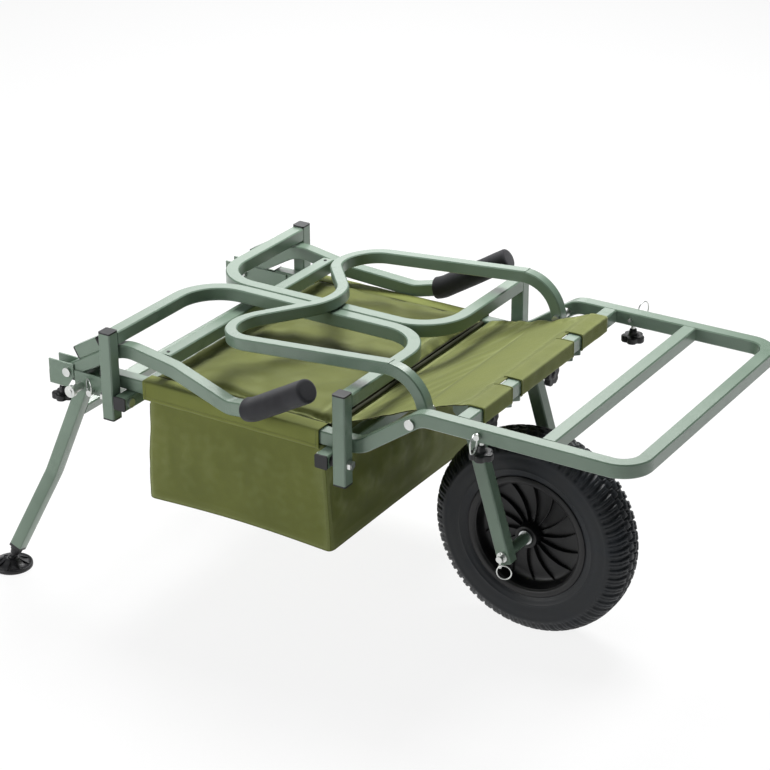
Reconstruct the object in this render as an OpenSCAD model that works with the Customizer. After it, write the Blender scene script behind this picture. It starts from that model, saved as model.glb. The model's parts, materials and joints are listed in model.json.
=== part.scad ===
// Fishing trolley: a one-wheel barrow with a canvas bag under its bed, shown part folded.
// X points from the rear feet to the front frame, Y to the trolley's left side, Z up from the ground.

/* [Frame tube] */
// Outside width of the square tube of the bed, guards and handles
tube = 25; // [24:0.5:26]
// Wall of the square tube
tube_wall = 1.5; // [1.2:0.1:2]
// Corner bevel of the square tube
tube_corner = 2; // [1:0.5:3]
// Thickness of the black end caps outside the tube
cap_t = 3; // [2:0.5:4]
// Length of the end caps inside the tube
cap_in = 8; // [5:1:8]

/* [Bed] */
// Width over the two bed rails
bed_w = 570; // [560:5:600]
// Height of the rails' underside above the ground
bed_z = 410; // [405:1:415]
// Distance between the rear and the front corner posts
post_pitch = 485; // [480:1:492]
// How far the bed rails reach behind the rear posts
rail_tail = 38; // [34:1:42]
// Distance from the rear posts to where the rails start to rise
rise_start = 505; // [502:1:508]
// Distance from the rear posts to the top of the rise
rise_end = 622; // [619:1:625]
// Height gained by the rails over the rise
rise_h = 82; // [80:1:84]
// Distance from the rear posts to the joint with the front extension
joint_x = 763; // [758:1:768]
// Distance from the rear posts to the crossbar that carries the wheel
wheel_bar_x = 691; // [688:1:694]
// Distance between a rail and its corner post
post_gap = 5; // [3:0.5:6]

/* [Side guards] */
// Height of the corner posts
post_h = 168; // [164:1:172]
// Length of post below the guard's hinge bolt
post_foot = 40; // [36:1:44]
// Distance from the top of a post to the top of the guard tube
guard_drop = 4; // [3:0.5:6]
// Bend radius of the side guard tube, to its middle
guard_bend = 85; // [75:1:95]
// Gap between the two side guards along the middle
guard_gap = 2; // [1.5:0.5:4]

/* [Front guard] */
// Outside width of the front guard tube
front_tube = 22; // [20:0.5:24]
// Space between each leg of the front guard and the rail beside it
front_guard_inset = 17; // [13:0.5:21]
// Distance from the rear posts to the front guard's hinge
front_hinge_x = 605; // [603:0.5:607]
// Height of the front guard's hinge above the rails' underside
front_hinge_h = 82; // [80:1:84]
// Length from the hinge to the rearmost point of the guard
front_guard_reach = 434; // [428:1:438]
// Angle of the guard's slanted tubes to its side tubes
front_guard_slant = 50; // [48:0.5:52]
// Tilt of the folded front guard
front_guard_tilt = 5; // [4.8:0.2:5.6]
// Space between the folded front guard and the side guards
front_guard_rest = 0.6; // [0.4:0.1:1.5]
// Bend radius of the guard's rear corners, to the middle of the tube
front_lobe_bend = 65; // [62:1:67]
// Bend radius of the guard's middle notch, to the middle of the tube
front_notch_bend = 85; // [80:1:90]
// Bend radius of the guard's front legs, to the middle of the tube
front_leg_bend = 71; // [66:1:73]

/* [Handles] */
// Distance from the rear posts back to the handle hinge
handle_hinge_x = 110; // [106:1:113]
// Height of the handle hinge above the rails' underside
handle_hinge_h = 5; // [4:0.5:6]
// Climb angle of the first part of the handle
handle_climb = 30; // [28:0.5:32]
// Distance from the rear posts to where the handles turn outwards
handle_turn_x = 122; // [114:1:128]
// Height of the handles above their hinge at that turn
handle_turn_h = 53.5; // [53:0.5:55]
// Downward slope of the handles before and after that turn
handle_fall = 9.5; // [8:0.1:9.8]
// Angle by which the handles turn outwards
handle_flare = 12; // [12:0.1:13]
// Diameter of the foam grips
grip_d = 42; // [36:1:44]
// Length of the short stop tube on top of each handle
stop_len = 62; // [56:1:66]

/* [Rear legs] */
// Outside width of the leg tube
leg_tube = 24.4; // [22:0.2:24.4]
// Distance from the rear posts back to the leg hinge
leg_hinge_x = 80.5; // [78:0.5:82]
// Distance from the rails' underside down to the leg hinge
leg_hinge_drop = 15; // [14:0.5:17]
// Lean of the legs towards the rear
leg_lean = 24; // [22:0.5:25]
// Length of the straight upper part of a leg
leg_upper = 220; // [210:1:226]
// Outward splay of the lower part of a leg
leg_splay = 18; // [14:0.5:20]
// Diameter of the mud feet
foot_d = 76; // [66:1:84]

/* [Front extension] */
// Length of the extension beyond its joint
ext_len = 252; // [230:1:280]
// Distance from the joint to the middle of the extension's crossbar
ext_bar_x = 83; // [70:1:100]
// Bend radius of the extension's corners, to the middle of the tube
ext_bend = 42; // [34:1:50]

/* [Wheel] */
// Outside diameter of the tyre
tyre_d = 384; // [380:1:388]
// Width of the tyre
tyre_w = 88; // [80:1:92]
// Diameter of the rim's edge
rim_d = 232; // [226:1:238]
// Number of curved ribs on each face of the wheel
ribs = 14; // [10:1:16]
// Diameter of the wheel axle
axle_d = 12; // [10:0.5:14]
// Distance between the middles of the fork legs
fork_w = 217; // [214:1:222]
// Lean of the fork legs
fork_lean = 16.8; // [15.6:0.2:17.4]

/* [Bag] */
// Distance from the rear posts to the bag's rear face
bag_x = 68; // [64:1:72]
// Length of the bag
bag_len = 367; // [356:1:368]
// Depth of the bag below the rails
bag_depth = 196; // [180:1:205]
// Thickness of the canvas
canvas = 2; // [1.6:0.1:2.4]
// Space between the canvas sleeves and the tubes in them
sleeve_fit = 0.3; // [0.25:0.05:0.5]

/* [Hidden] */
$fn = 48;
fit = 0.05;
gap = 0.3;
lap = 0.2;
seam = 0.02;
far = 2000;
half_bed = bed_w / 2;
front_guard_w = bed_w - 2 * (tube + front_guard_inset);
rail_y = half_bed - tube / 2;
rail_in = half_bed - tube;
rail_z = bed_z + tube / 2;
front_z = rail_z + rise_h;
post_y = half_bed + post_gap + tube / 2;
plate_t = 3;
bolt_d = 10;
guard_bolt_d = 8;
hinge_z = bed_z - tube / 2;
post_low = hinge_z - post_foot;
post_top = post_low + post_h;
guard_z = post_top - guard_drop - tube / 2;
guard_top = guard_z + tube / 2;
guard_in = guard_gap / 2 + tube / 2;
rear_member_x = tube + 4.6;
front_member_x = post_pitch - tube - 7.8;
member_y = half_bed + post_gap + tube + 4;
axle_z = tyre_d / 2;
axle_x = wheel_bar_x;
ext_front = joint_x + ext_len;
hinge_leg_z = bed_z - leg_hinge_drop;
leg_y = rail_y;
front_hinge_z = bed_z + front_hinge_h;
handle_z = bed_z + handle_hinge_h;
handle_turn_z = handle_z + handle_turn_h;
clevis_rear = handle_hinge_x + 41.5;
stop_block_l = 27;
lower_lean = 21.4;
foot_stem = 30;
foot_ball = 14;
foot_edge = 5;
knob_d = 42;
knob_h = 16;
stem_d = 7.9;
stem_show = 17;
pin_d = 6;
pin_clear = 1.4;
front_run = joint_x - rise_end - 16;
spigot_in = front_run * 0.544;
spigot_out = 22;
spigot_prong = 5;
knob_inset = 16;
guard_spacer_d = 20;
front_spacer_d = 16;
pin_pull_x = joint_x - front_run * 0.248;
rib_top = 21;
leg_pin_x = 53;
leg_pin_z = bed_z - 19;
plate_top = bed_z + tube - 3;

// The leg's three turning points, on the left side, from hinge to foot.
leg_top = [-leg_hinge_x, leg_y, hinge_leg_z];
leg_knee = leg_top + leg_upper * [-sin(leg_lean), 0, -cos(leg_lean)];
leg_dir = unit([-tan(lower_lean), tan(leg_splay), -1]);
leg_end = leg_knee + (lower_reach() - foot_stem) * leg_dir;
foot_at = leg_knee + lower_reach() * leg_dir;
rear_edge = foot_at[0] - foot_d / 2;
mid_x = (ext_front + rear_edge) / 2;

function unit(v) = v / norm(v);
function lower_reach() = (leg_knee[2] - foot_at_z()) / -leg_dir[2];
function foot_at_z() = foot_ball / 2 + foot_edge + 5;
function heading(v) = atan2(v[1], v[0]);
function turn(p, i) = within_half(heading(p[i + 1] - p[i]) - heading(p[i] - p[i - 1]));
function within_half(d) = d > 180 ? d - 360 : d < -180 ? d + 360 : d;
function setback(p, r, i) = i == 0 || i == len(p) - 1 ? 0 : r[i] * tan(abs(turn(p, i)) / 2);
function repeat(v, n) = [for (i = [1 : n]) v];

// Moves the finished pieces so that the middle of the length is at X 0.
module placed() {
    translate([-mid_x, 0, 0]) children();
}

// Repeats a piece made for the left side on both sides.
module both_sides() {
    children();
    mirror([0, 1, 0]) children();
}

module right_side() {
    mirror([0, 1, 0]) children();
}

// Square tube section with bevelled corners.
module tube_section(s, c) {
    h = s / 2;
    polygon([
        [h, h - c], [h - c, h], [c - h, h], [-h, h - c], [-h, c - h], [c - h, -h], [h - c, -h], [h, c - h]
    ]);
}

module hollow_section(s, wall, c) {
    difference() {
        tube_section(s, c);
        square(s - 2 * wall, center = true);
    }
}

// A straight tube from the origin along X.
module straight(l, s = tube, wall = tube_wall) {
    rotate([90, 0, 90]) linear_extrude(l) hollow_section(s, wall, tube_corner);
}

// A straight tube along Y, centred.
module lateral(l, s = tube, wall = tube_wall) {
    rotate([0, 0, 90]) translate([-l / 2, 0, 0]) straight(l, s, wall);
}

// The straight of a bent bar between flat points i and i + 1, reaching a little into its bends.
module bar_run(p, r, i) {
    along = unit(p[i + 1] - p[i]);
    a = setback(p, r, i) - (i == 0 ? 0 : lap);
    b = setback(p, r, i + 1) - (i == len(p) - 2 ? 0 : lap);
    start = p[i] + a * along;
    translate([start[0], start[1], 0]) rotate(heading(along)) rotate([90, 0, 90])
        linear_extrude(norm(p[i + 1] - p[i]) - a - b) children();
}

// The bend of a bent bar at flat point i, with bend radius r[i].
module bar_bend(p, r, i) {
    t = turn(p, i);
    along = unit(p[i] - p[i - 1]);
    h = heading(along);
    side = t > 0 ? 90 : -90;
    centre = p[i] - along * setback(p, r, i) + r[i] * [cos(h + side), sin(h + side)];
    translate([centre[0], centre[1], 0]) rotate(t > 0 ? h - 90 : h + 90 + t)
        rotate_extrude(angle = abs(t)) translate([r[i], 0]) children();
}

// Sweeps a section through flat points p, from straight number first.
// The first child is the section of the straights, the second a hair smaller for the bends.
module sweep(p, r, first = 0) {
    for (i = [first : len(p) - 2]) bar_run(p, r, i) children(0);
    for (i = [1 : len(p) - 2]) bar_bend(p, r, i) children(1);
}

// A bent square tube through flat points p, with bend radius r[i] at point i.
module bent_tube(p, r, s = tube, wall = tube_wall, first = 0) {
    sweep(p, r, first) {
        hollow_section(s, wall, tube_corner);
        hollow_section(s - 2 * seam, wall - 2 * seam, tube_corner);
    }
}

// Turns a piece drawn in X and Y upright into X and Z.
module upright() {
    rotate([90, 0, 0]) children();
}

// A flat plate drawn in X and Z, from y to y + t.
module side_plate(y, t) {
    translate([0, y + t, 0]) upright() linear_extrude(t) children();
}

module rod_x(x, l, d) {
    translate([x, 0, 0]) rotate([0, 90, 0]) cylinder(h = l, d = d);
}

module rod_y(y, l, d) {
    translate([0, y, 0]) rotate([-90, 0, 0]) cylinder(h = l, d = d);
}

module hex_y(y, l, d) {
    translate([0, y, 0]) rotate([-90, 0, 0]) cylinder(h = l, d = d, $fn = 6);
}

// An end cap: flange outside from the origin along X, plug back inside the tube.
module end_cap(s = tube, wall = tube_wall, t = cap_t) {
    rotate([90, 0, 90]) linear_extrude(t) tube_section(s, tube_corner);
    inner = s - 2 * wall - 2 * fit;
    translate([-cap_in, -inner / 2, -inner / 2]) cube([cap_in, inner, inner]);
}

// A five-lobed clamp knob along X, its stem pointing to minus X from the origin.
module star_knob(stem) {
    rod_x(-stem, stem, stem_d);
    rod_x(0, 4, knob_d * 0.4);
    difference() {
        rod_x(4, knob_h - 4, knob_d);
        for (i = [0 : 4]) rotate([72 * i + 36, 0, 0]) translate([0, 0, knob_d * 0.56])
            rod_x(2, knob_h, knob_d * 0.38);
    }
    rod_x(knob_h, 1.5, 10);
}

// A ring pin along Y: head from the origin outwards, shank of length l inwards.
// The ring is turned by yaw about Z and stands off the head at the angle lift.
module ring_pin(l, yaw, lift, r = 14) {
    rod_y(-l, l, pin_d);
    rod_y(0, 6, 12);
    translate([0, 3, 0]) rotate([0, 0, yaw]) rotate([0, -lift, 0]) translate([r, 0, 0]) rotate([90, 0, 0])
        rotate_extrude() translate([r, 0]) circle(d = 2.4, $fn = 16);
}

function rail_path() = [
    [cap_t - rail_tail, rail_z],
    [rise_start, rail_z],
    [rise_end, front_z],
    [joint_x, front_z]
];

module side_rails() {
    color("darkseagreen") placed() difference() {
        both_sides() translate([0, rail_y, 0]) upright() bent_tube(rail_path(), [0, 60, 50, 0]);
        translate([front_hinge_x, 0, front_hinge_z]) rod_y(-far / 2, far, guard_bolt_d + 2 * fit);
        translate([pin_pull_x, 0, front_z]) rod_y(-far / 2, far, pin_d + 2 * fit);
        both_sides() translate([pin_pull_x, rail_y, front_z - tube]) cylinder(h = tube, d = 8);
    }
}

module cross_members() {
    color("darkseagreen") placed() difference() {
        for (x = [rear_member_x, front_member_x]) translate([x, 0, hinge_z])
            lateral(2 * member_y - 2 * cap_t);
        both_sides() translate([0, post_y, hinge_z]) rod_x(-tube, post_pitch + 2 * tube, bolt_d + 2 * fit);
    }
}

module wheel_bar() {
    color("darkseagreen") placed() translate([wheel_bar_x, 0, front_z]) lateral(2 * rail_in);
}

module frame_caps() {
    color("dimgray") placed() both_sides() {
        translate([cap_t - rail_tail, rail_y, rail_z]) rotate([0, 0, 180]) end_cap();
        for (x = [rear_member_x, front_member_x])
            translate([x, member_y - cap_t, hinge_z]) rotate([0, 0, 90]) end_cap();
        translate([-clevis_rear, rail_y, hinge_z]) rotate([0, 0, 180]) end_cap();
    }
}

// Inner plate that carries the handle and leg hinges, welded to the rail's inner face.
module rear_plates() {
    color("darkseagreen") placed() difference() {
        both_sides() side_plate(rail_in - plate_t, plate_t) polygon([
            [-clevis_rear, hinge_z - tube / 2], [-clevis_rear, plate_top], [-8, plate_top],
            [-8, bed_z], [-38, hinge_z - tube / 2]
        ]);
        hinge_bores();
    }
}

// Outer cheeks of the handle hinge and of the leg hinge.
module hinge_cheeks() {
    color("darkseagreen") placed() difference() {
        both_sides() side_plate(half_bed, plate_t) {
            polygon([
                [-clevis_rear, hinge_z - tube / 2], [-clevis_rear, plate_top],
                [-handle_hinge_x + 14, plate_top], [-handle_hinge_x + 14, bed_z],
                [-clevis_rear + stop_block_l + 12, hinge_z - tube / 2]
            ]);
            translate([-leg_hinge_x - 13, bed_z - 26]) square([leg_hinge_x + 13 - 20, 38]);
        }
        hinge_bores();
    }
}

module hinge_bores() {
    translate([-handle_hinge_x, 0, handle_z]) rod_y(-far / 2, far, bolt_d + 2 * fit);
    translate([-leg_hinge_x, 0, hinge_leg_z]) rod_y(-far / 2, far, bolt_d + 2 * fit);
    translate([-leg_pin_x, 0, leg_pin_z]) rod_y(-far / 2, far, pin_d + 2 * fit);
}

module stop_blocks() {
    color("darkseagreen") placed() difference() {
        both_sides() translate([-clevis_rear, rail_y, hinge_z]) straight(stop_block_l);
        both_sides() translate([knob_x(), rail_y, bed_z - far / 2 - tube / 2]) cylinder(h = far / 2, d = 8);
    }
}

function knob_x() = knob_inset - clevis_rear;

// Two side plates and a front web under the wheel bar for each fork leg.
module fork_brackets() {
    low = front_z - tube / 2;
    y_in = fork_w / 2 - tube / 2 - gap - plate_t;
    y_out = fork_w / 2 + tube / 2 + gap;
    shape = [
        [wheel_bar_x - tube / 2, low], [wheel_bar_x + tube / 2, low], [wheel_bar_x + tube / 2, low - 10],
        [fork_knob_x() - 2, fork_knob_z + 23], [fork_knob_x() - 8, low - 62],
        [fork_x(low - 70) - 6, low - 74], [fork_x(low - 40) - 20, low - 44],
        [fork_x(low - 8) - 14, low - 9], [wheel_bar_x - 45, low - 6]
    ];
    color("darkseagreen") placed() both_sides() {
        side_plate(y_in, plate_t) polygon(shape);
        side_plate(y_out, plate_t) polygon(shape);
        difference() {
            translate([fork_knob_x() - 12, y_in, fork_knob_z - 11]) cube([4, y_out + plate_t - y_in, 22]);
            translate([0, fork_w / 2, fork_knob_z]) rod_x(0, far, 8);
        }
    }
}

fork_knob_z = front_z - 66;
function fork_x(z) = axle_x - (z - axle_z) * tan(fork_lean);
function fork_knob_x() = fork_x(fork_knob_z) + 29;

module guard_bolts() {
    color("silver") placed() both_sides() {
        translate([0, post_y, hinge_z]) {
            rod_x(-tube / 2 - 7, rear_member_x + tube + 11, bolt_d);
            translate([-tube / 2 - 7, 0, 0]) rotate([0, 90, 0]) cylinder(h = 7 - gap, d = 18, $fn = 6);
            rod_x(rear_member_x + tube / 2, 4, 17);
        }
        translate([post_pitch, post_y, hinge_z]) {
            rod_x(front_member_x - post_pitch - tube / 2 - 4, post_pitch - front_member_x + tube + 12,
                bolt_d);
            translate([tube / 2 + gap, 0, 0]) rotate([0, 90, 0]) cylinder(h = 7, d = 18, $fn = 6);
            rod_x(front_member_x - post_pitch - tube / 2 - 4, 4, 17);
        }
    }
}

module guard_spacers() {
    color("dimgray") placed() both_sides() translate([0, post_y, hinge_z]) difference() {
        union() {
            rod_x(tube / 2 + gap, rear_member_x - tube - gap, guard_spacer_d);
            rod_x(front_member_x + tube / 2, post_pitch - front_member_x - tube - gap, guard_spacer_d);
        }
        rod_x(0, post_pitch, bolt_d + 2 * fit);
    }
}

module front_guard_bolts() {
    y = front_guard_w / 2 - front_tube;
    color("silver") placed() both_sides() translate([front_hinge_x, 0, front_hinge_z]) {
        rod_y(y - 7, half_bed - y + 11, guard_bolt_d);
        rod_y(half_bed, 4, 18);
        hex_y(y - 7, 7 - gap, 15);
    }
}

module front_guard_spacers() {
    y = front_guard_w / 2 + gap;
    color("silver") placed() both_sides() translate([front_hinge_x, 0, front_hinge_z]) difference() {
        rod_y(y, rail_in - y, front_spacer_d);
        rod_y(0, far, guard_bolt_d + 2 * fit);
    }
}

module handle_bolts() {
    color("silver") placed() both_sides() translate([-handle_hinge_x, 0, handle_z]) {
        rod_y(rail_in - plate_t - 8, half_bed - rail_in + 2 * plate_t + 11, bolt_d);
        rod_y(half_bed + plate_t, 4, 17);
        hex_y(rail_in - plate_t - 7, 7, 17);
    }
}

module leg_bolts() {
    color("silver") placed() both_sides() translate([-leg_hinge_x, 0, hinge_leg_z]) {
        rod_y(rail_in - plate_t - 8, half_bed - rail_in + plate_t + 44, bolt_d);
        rod_y(half_bed + plate_t, 24, 15);
        rod_y(half_bed + plate_t + 24, 8, 22);
        hex_y(rail_in - plate_t - 7, 7, 17);
    }
}

sleeve = canvas + sleeve_fit;
bag_fold = 9;
bag_corner = 18;
bag_top = rail_z + tube / 2 + sleeve;

// Open bag hung from the two rails by its sleeves.
module bag() {
    y = half_bed + sleeve;
    low = bed_z - sleeve - bag_depth;
    color("olivedrab") placed() {
        difference() {
            bag_block(bag_x, bag_len, y, low, bag_depth + sleeve, bag_corner);
            translate([0, 0, canvas])
                bag_block(bag_x + canvas, bag_len - 2 * canvas, y - canvas, low, bag_depth + bag_fold,
                    bag_corner - canvas);
        }
        both_sides() translate([bag_x - bag_fold, rail_y, rail_z]) rotate([90, 0, 90])
            linear_extrude(bag_len + 2) sleeve_section();
        for (x = [bag_x, bag_x + bag_len - canvas])
            translate([x, sleeve - rail_in, bed_z - sleeve])
                cube([canvas, 2 * (rail_in - sleeve), tube + 2 * sleeve - canvas - gap]);
    }
}

// Canvas round a square tube.
module sleeve_section() {
    difference() {
        tube_section(tube + 2 * sleeve, tube_corner + canvas / 2);
        tube_section(tube + 2 * sleeve_fit, tube_corner);
    }
}

module bag_block(x, l, y, z, h, r) {
    translate([x, -y, z]) linear_extrude(h) translate([r, r]) union() {
        translate([0, -r]) square([l - 2 * r, 2 * y]);
        translate([-r, 0]) square([l, 2 * y - 2 * r]);
        for (u = [0, l - 2 * r], v = [0, 2 * y - 2 * r]) translate([u, v]) circle(r = r);
    }
}

lid_w = 2 * (rail_in - sleeve - gap);
lid_crown = 6;

// Canvas lid, crowned a little across its width.
module bag_lid() {
    color("olive") placed() translate([bag_x + canvas, 0, bag_top - canvas]) rotate([90, 0, 90])
        linear_extrude(bag_len - 2 * canvas) polygon(concat(
            [for (i = [0 : 16]) [lid_w * (i / 16 - 0.5), lid_crown * sin(180 * i / 16)]],
            [for (i = [16 : -1 : 0]) [lid_w * (i / 16 - 0.5), lid_crown * sin(180 * i / 16) + canvas]]
        ));
}

apron_w = 490;
apron_back = front_guard_w / 2 - front_tube - 7 - 1.5;
apron_cut = tube + 2 * plate_t + 6;

// Canvas from the front of the bag up to and round the wheel bar.
module front_apron() {
    x0 = bag_x + bag_len + gap;
    x1 = wheel_bar_x - tube / 2 - sleeve;
    z0 = bag_top - canvas;
    z1 = front_z + tube / 2 + sleeve_fit;
    color("yellowgreen") placed() difference() {
        union() {
            intersection() {
                translate([0, apron_w / 2, 0]) upright() linear_extrude(apron_w) polygon([
                    [x0, z0], [x0 + 8, z0], [x1, z1 - 0.8], [x1 + 0.5, z1 - 0.8],
                    [x1 + 0.5, z1 + canvas - 0.8], [x1, z1 + canvas], [x0 + 6, z0 + canvas], [x0, z0 + canvas]
                ]);
                linear_extrude(far) polygon([
                    [x0, -apron_back], [x1 - 8, -apron_back], [x1, -apron_w / 2], [x1 + tube, -apron_w / 2],
                    [x1 + tube, apron_w / 2], [x1, apron_w / 2], [x1 - 8, apron_back], [x0, apron_back]
                ]);
            }
            translate([wheel_bar_x, -apron_w / 2, front_z]) rotate([90, 0, 180]) linear_extrude(apron_w)
                sleeve_section();
        }
        both_sides() translate([x1 - 9, fork_w / 2 - apron_cut / 2, front_z - tube])
            cube([tube + 4 * sleeve + 9, apron_cut, 2 * tube]);
    }
}

// One side guard: two posts and a bent tube between them, for the left side.
module side_guard() {
    color("darkseagreen") placed() difference() {
        union() {
            for (x = [0, post_pitch])
                translate([x, post_y, post_low + cap_t]) rotate([0, -90, 0]) straight(post_h - 2 * cap_t);
            translate([0, 0, guard_z]) bent_tube([
                [0, post_y - tube / 2], [0, guard_in], [post_pitch, guard_in], [post_pitch, post_y - tube / 2]
            ], repeat(guard_bend, 4));
        }
        translate([0, post_y, hinge_z]) rod_x(-tube, post_pitch + 2 * tube, bolt_d + 2 * fit);
    }
}

module side_guard_caps() {
    color("dimgray") placed() for (x = [0, post_pitch]) {
        translate([x, post_y, post_top - cap_t]) rotate([0, -90, 0]) end_cap();
        translate([x, post_y, post_low + cap_t]) rotate([0, 90, 0]) end_cap();
    }
}

module right_guard() {
    right_side() side_guard();
}

module right_guard_caps() {
    right_side() side_guard_caps();
}

module left_guard() {
    side_guard();
}

module left_guard_caps() {
    side_guard_caps();
}

front_y = front_guard_w / 2 - front_tube / 2;
front_leg_x = front_hinge_x - 2;
front_leg_low = front_hinge_z - 12;
lobe_turn = 180 - front_guard_slant;
lobe_x = front_hinge_x - front_guard_reach + front_tube / 2 - front_lobe_bend * (tan(lobe_turn / 2) - 1);
notch_x = lobe_x + front_y / tan(front_guard_slant);
notch_apex = notch_x - front_notch_bend * (1 / sin(front_guard_slant) - 1);
front_mid_z = guard_top + front_guard_rest + front_tube / 2 / cos(front_guard_tilt)
    + (front_leg_x - notch_apex + front_tube) * tan(front_guard_tilt);
front_corner = front_leg_bend * tan(45 - front_guard_tilt / 2) - lap;

// The looped top of the front guard, drawn flat with its front corners' line at X 0.
function loop_path() =
    let (k = cos(front_guard_tilt), l = (front_leg_x - lobe_x) / k, n = (front_leg_x - notch_x) / k)
    [[-front_corner, front_y], [-l, front_y], [-n, 0], [-l, -front_y], [-front_corner, -front_y]];

function front_leg_path() = [
    [front_leg_x, front_mid_z] - 2 * front_corner * [cos(front_guard_tilt), sin(front_guard_tilt)],
    [front_leg_x, front_mid_z],
    [front_leg_x, front_leg_low]
];

module front_guard() {
    color("darkseagreen") placed() difference() {
        union() {
            translate([front_leg_x, 0, front_mid_z]) rotate([0, -front_guard_tilt, 0])
                bent_tube(loop_path(), [0, front_lobe_bend, front_notch_bend, front_lobe_bend, 0],
                    front_tube);
            for (y = [-front_y, front_y]) translate([0, y, 0]) upright()
                bent_tube(front_leg_path(), [0, front_leg_bend, 0], front_tube, first = 1);
        }
        translate([front_hinge_x, 0, front_hinge_z]) rod_y(-far / 2, far, guard_bolt_d + 2 * fit);
    }
}

module front_guard_caps() {
    color("dimgray") placed() for (y = [-front_y, front_y])
        translate([front_leg_x, y, front_leg_low]) rotate([0, 90, 0]) short_cap(front_tube);
}

module short_cap(s) {
    rotate([90, 0, 90]) linear_extrude(cap_t) tube_section(s, tube_corner);
}

handle_knee_x = (handle_turn_h + (handle_turn_x + handle_hinge_x) * tan(handle_fall))
    / (tan(handle_climb) + tan(handle_fall)) - handle_hinge_x;
handle_knee = [handle_knee_x, handle_z + (handle_knee_x + handle_hinge_x) * tan(handle_climb)];
handle_knee_bend = 75;
link_len = norm(handle_knee - [-handle_hinge_x, handle_z])
    - handle_knee_bend * tan((handle_climb + handle_fall) / 2) - 6;
crossbar_x = 89.7;
crossbar_z = handle_turn_z + (handle_turn_x - crossbar_x) * tan(handle_fall);

// Straight sleeve from the handle hinge, with the stop tube on top of it.
module handle_links() {
    color("darkseagreen") placed() difference() {
        both_sides() translate([-handle_hinge_x, rail_y, handle_z]) rotate([0, -handle_climb, 0]) {
            difference() {
                union() {
                    straight(link_len - seam, tube - 2 * gap);
                    rod_y(gap - tube / 2, tube - 2 * gap, tube - 2 * gap);
                }
                rod_y(-far / 2, far, bolt_d + 2 * fit);
            }
            translate([38 + cap_t, 0, tube - gap]) straight(stop_len - 2 * cap_t);
        }
    }
}

handle_turn_bend = 60;
turn_l = handle_turn_bend * tan(handle_flare / 2) - lap;

module handle_frame() {
    start = [-handle_hinge_x, handle_z] + link_len * [cos(handle_climb), sin(handle_climb)];
    stop = [handle_turn_x, handle_turn_z] - turn_l * [cos(handle_fall), -sin(handle_fall)];
    corner = [[-1, 0], [0, 0], [cos(handle_flare), sin(handle_flare)]];
    color("darkseagreen") placed() both_sides() {
        translate([0, rail_y, 0]) upright() bent_tube([start, handle_knee, stop], [0, handle_knee_bend, 0]);
        at_turn() bar_bend(corner, [0, handle_turn_bend, 0], 1)
            hollow_section(tube - 2 * seam, tube_wall - 2 * seam, tube_corner);
        at_turn() rotate([0, 0, handle_flare]) upright() bent_tube(handle_run(), [0, 60, 70, 0]);
    }
}

// Places a piece at the point where the left handle turns outwards, X along the handle.
module at_turn() {
    translate([handle_turn_x, rail_y, handle_turn_z]) rotate([0, handle_fall, 0]) children();
}

// Handle forward of the outward turn, along its own line and up.
function handle_run() = [[turn_l, 0], [142, 0], [194, 19], [309, 115]];

module handle_crossbar() {
    color("darkseagreen") placed() difference() {
        translate([crossbar_x, 0, crossbar_z]) lateral(2 * rail_in);
        both_sides() handle_screw(2 * fit);
    }
}

module handle_screw(play) {
    translate([crossbar_x, rail_in - 11, crossbar_z]) cylinder(h = tube / 2 + 1, d = 6 + play);
}

module handle_screws() {
    color("dimgray") placed() both_sides() handle_screw(0);
}

module stop_caps() {
    color("dimgray") placed() both_sides()
        translate([-handle_hinge_x, rail_y, handle_z]) rotate([0, -handle_climb, 0]) {
        translate([38 + cap_t, 0, tube - gap]) rotate([0, 0, 180]) end_cap();
        translate([38 + stop_len - cap_t, 0, tube - gap]) end_cap();
    }
}

module handle_caps() {
    color("dimgray") placed() both_sides() grip_end() short_cap(tube);
}

module grip_end() {
    p = handle_run();
    at_turn() rotate([0, 0, handle_flare]) translate([p[3][0], 0, p[3][1]])
        rotate([0, -heading(p[3] - p[2]), 0]) translate([seam, 0, 0]) children();
}

// Round foam over the last run of the handle, with a square hole for the tube.
module grips() {
    p = handle_run();
    back = unit(p[2] - p[1]);
    color("dimgray") placed() both_sides() at_turn() rotate([0, 0, handle_flare]) upright()
        sweep([p[2] - 15 * back, p[2], p[3]], [0, 70, 0]) {
            foam_section(grip_d, tube + 2 * fit);
            foam_section(grip_d - 2 * seam, tube + 2 * fit + 2 * seam);
        }
}

module foam_section(d, hole) {
    difference() {
        polygon([for (i = [0 : 31]) d / 2 * [cos(11.25 * i), sin(11.25 * i)]]);
        square(hole, center = true);
    }
}

// Aims a piece drawn along X from point a to point b.
module aim(a, b) {
    d = b - a;
    translate(a) rotate([0, -asin(d[2] / norm(d)), atan2(d[1], d[0])]) children();
}

leg_mitre = leg_tube * 0.12;

module legs() {
    color("darkseagreen") placed() both_sides() difference() {
        union() {
            translate(leg_top) rotate([0, 90 + leg_lean, 0]) {
                straight(leg_upper, leg_tube);
                rod_y(-leg_tube / 2, leg_tube, leg_tube);
            }
            aim(leg_knee, leg_end) translate([-leg_mitre, 0, 0])
                straight(norm(leg_end - leg_knee) + leg_mitre, leg_tube);
        }
        translate(leg_top) rod_y(-far / 2, far, bolt_d + 2 * fit);
    }
}

leg_bar_at = leg_top + 62.5 * unit(leg_knee - leg_top);

module leg_crossbar() {
    color("darkseagreen") placed() translate([leg_bar_at[0], 0, leg_bar_at[2]]) rotate([0, leg_lean, 0])
        lateral(2 * leg_y - leg_tube);
}

leg_cap_t = 5;
leg_collar = 14;

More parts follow.
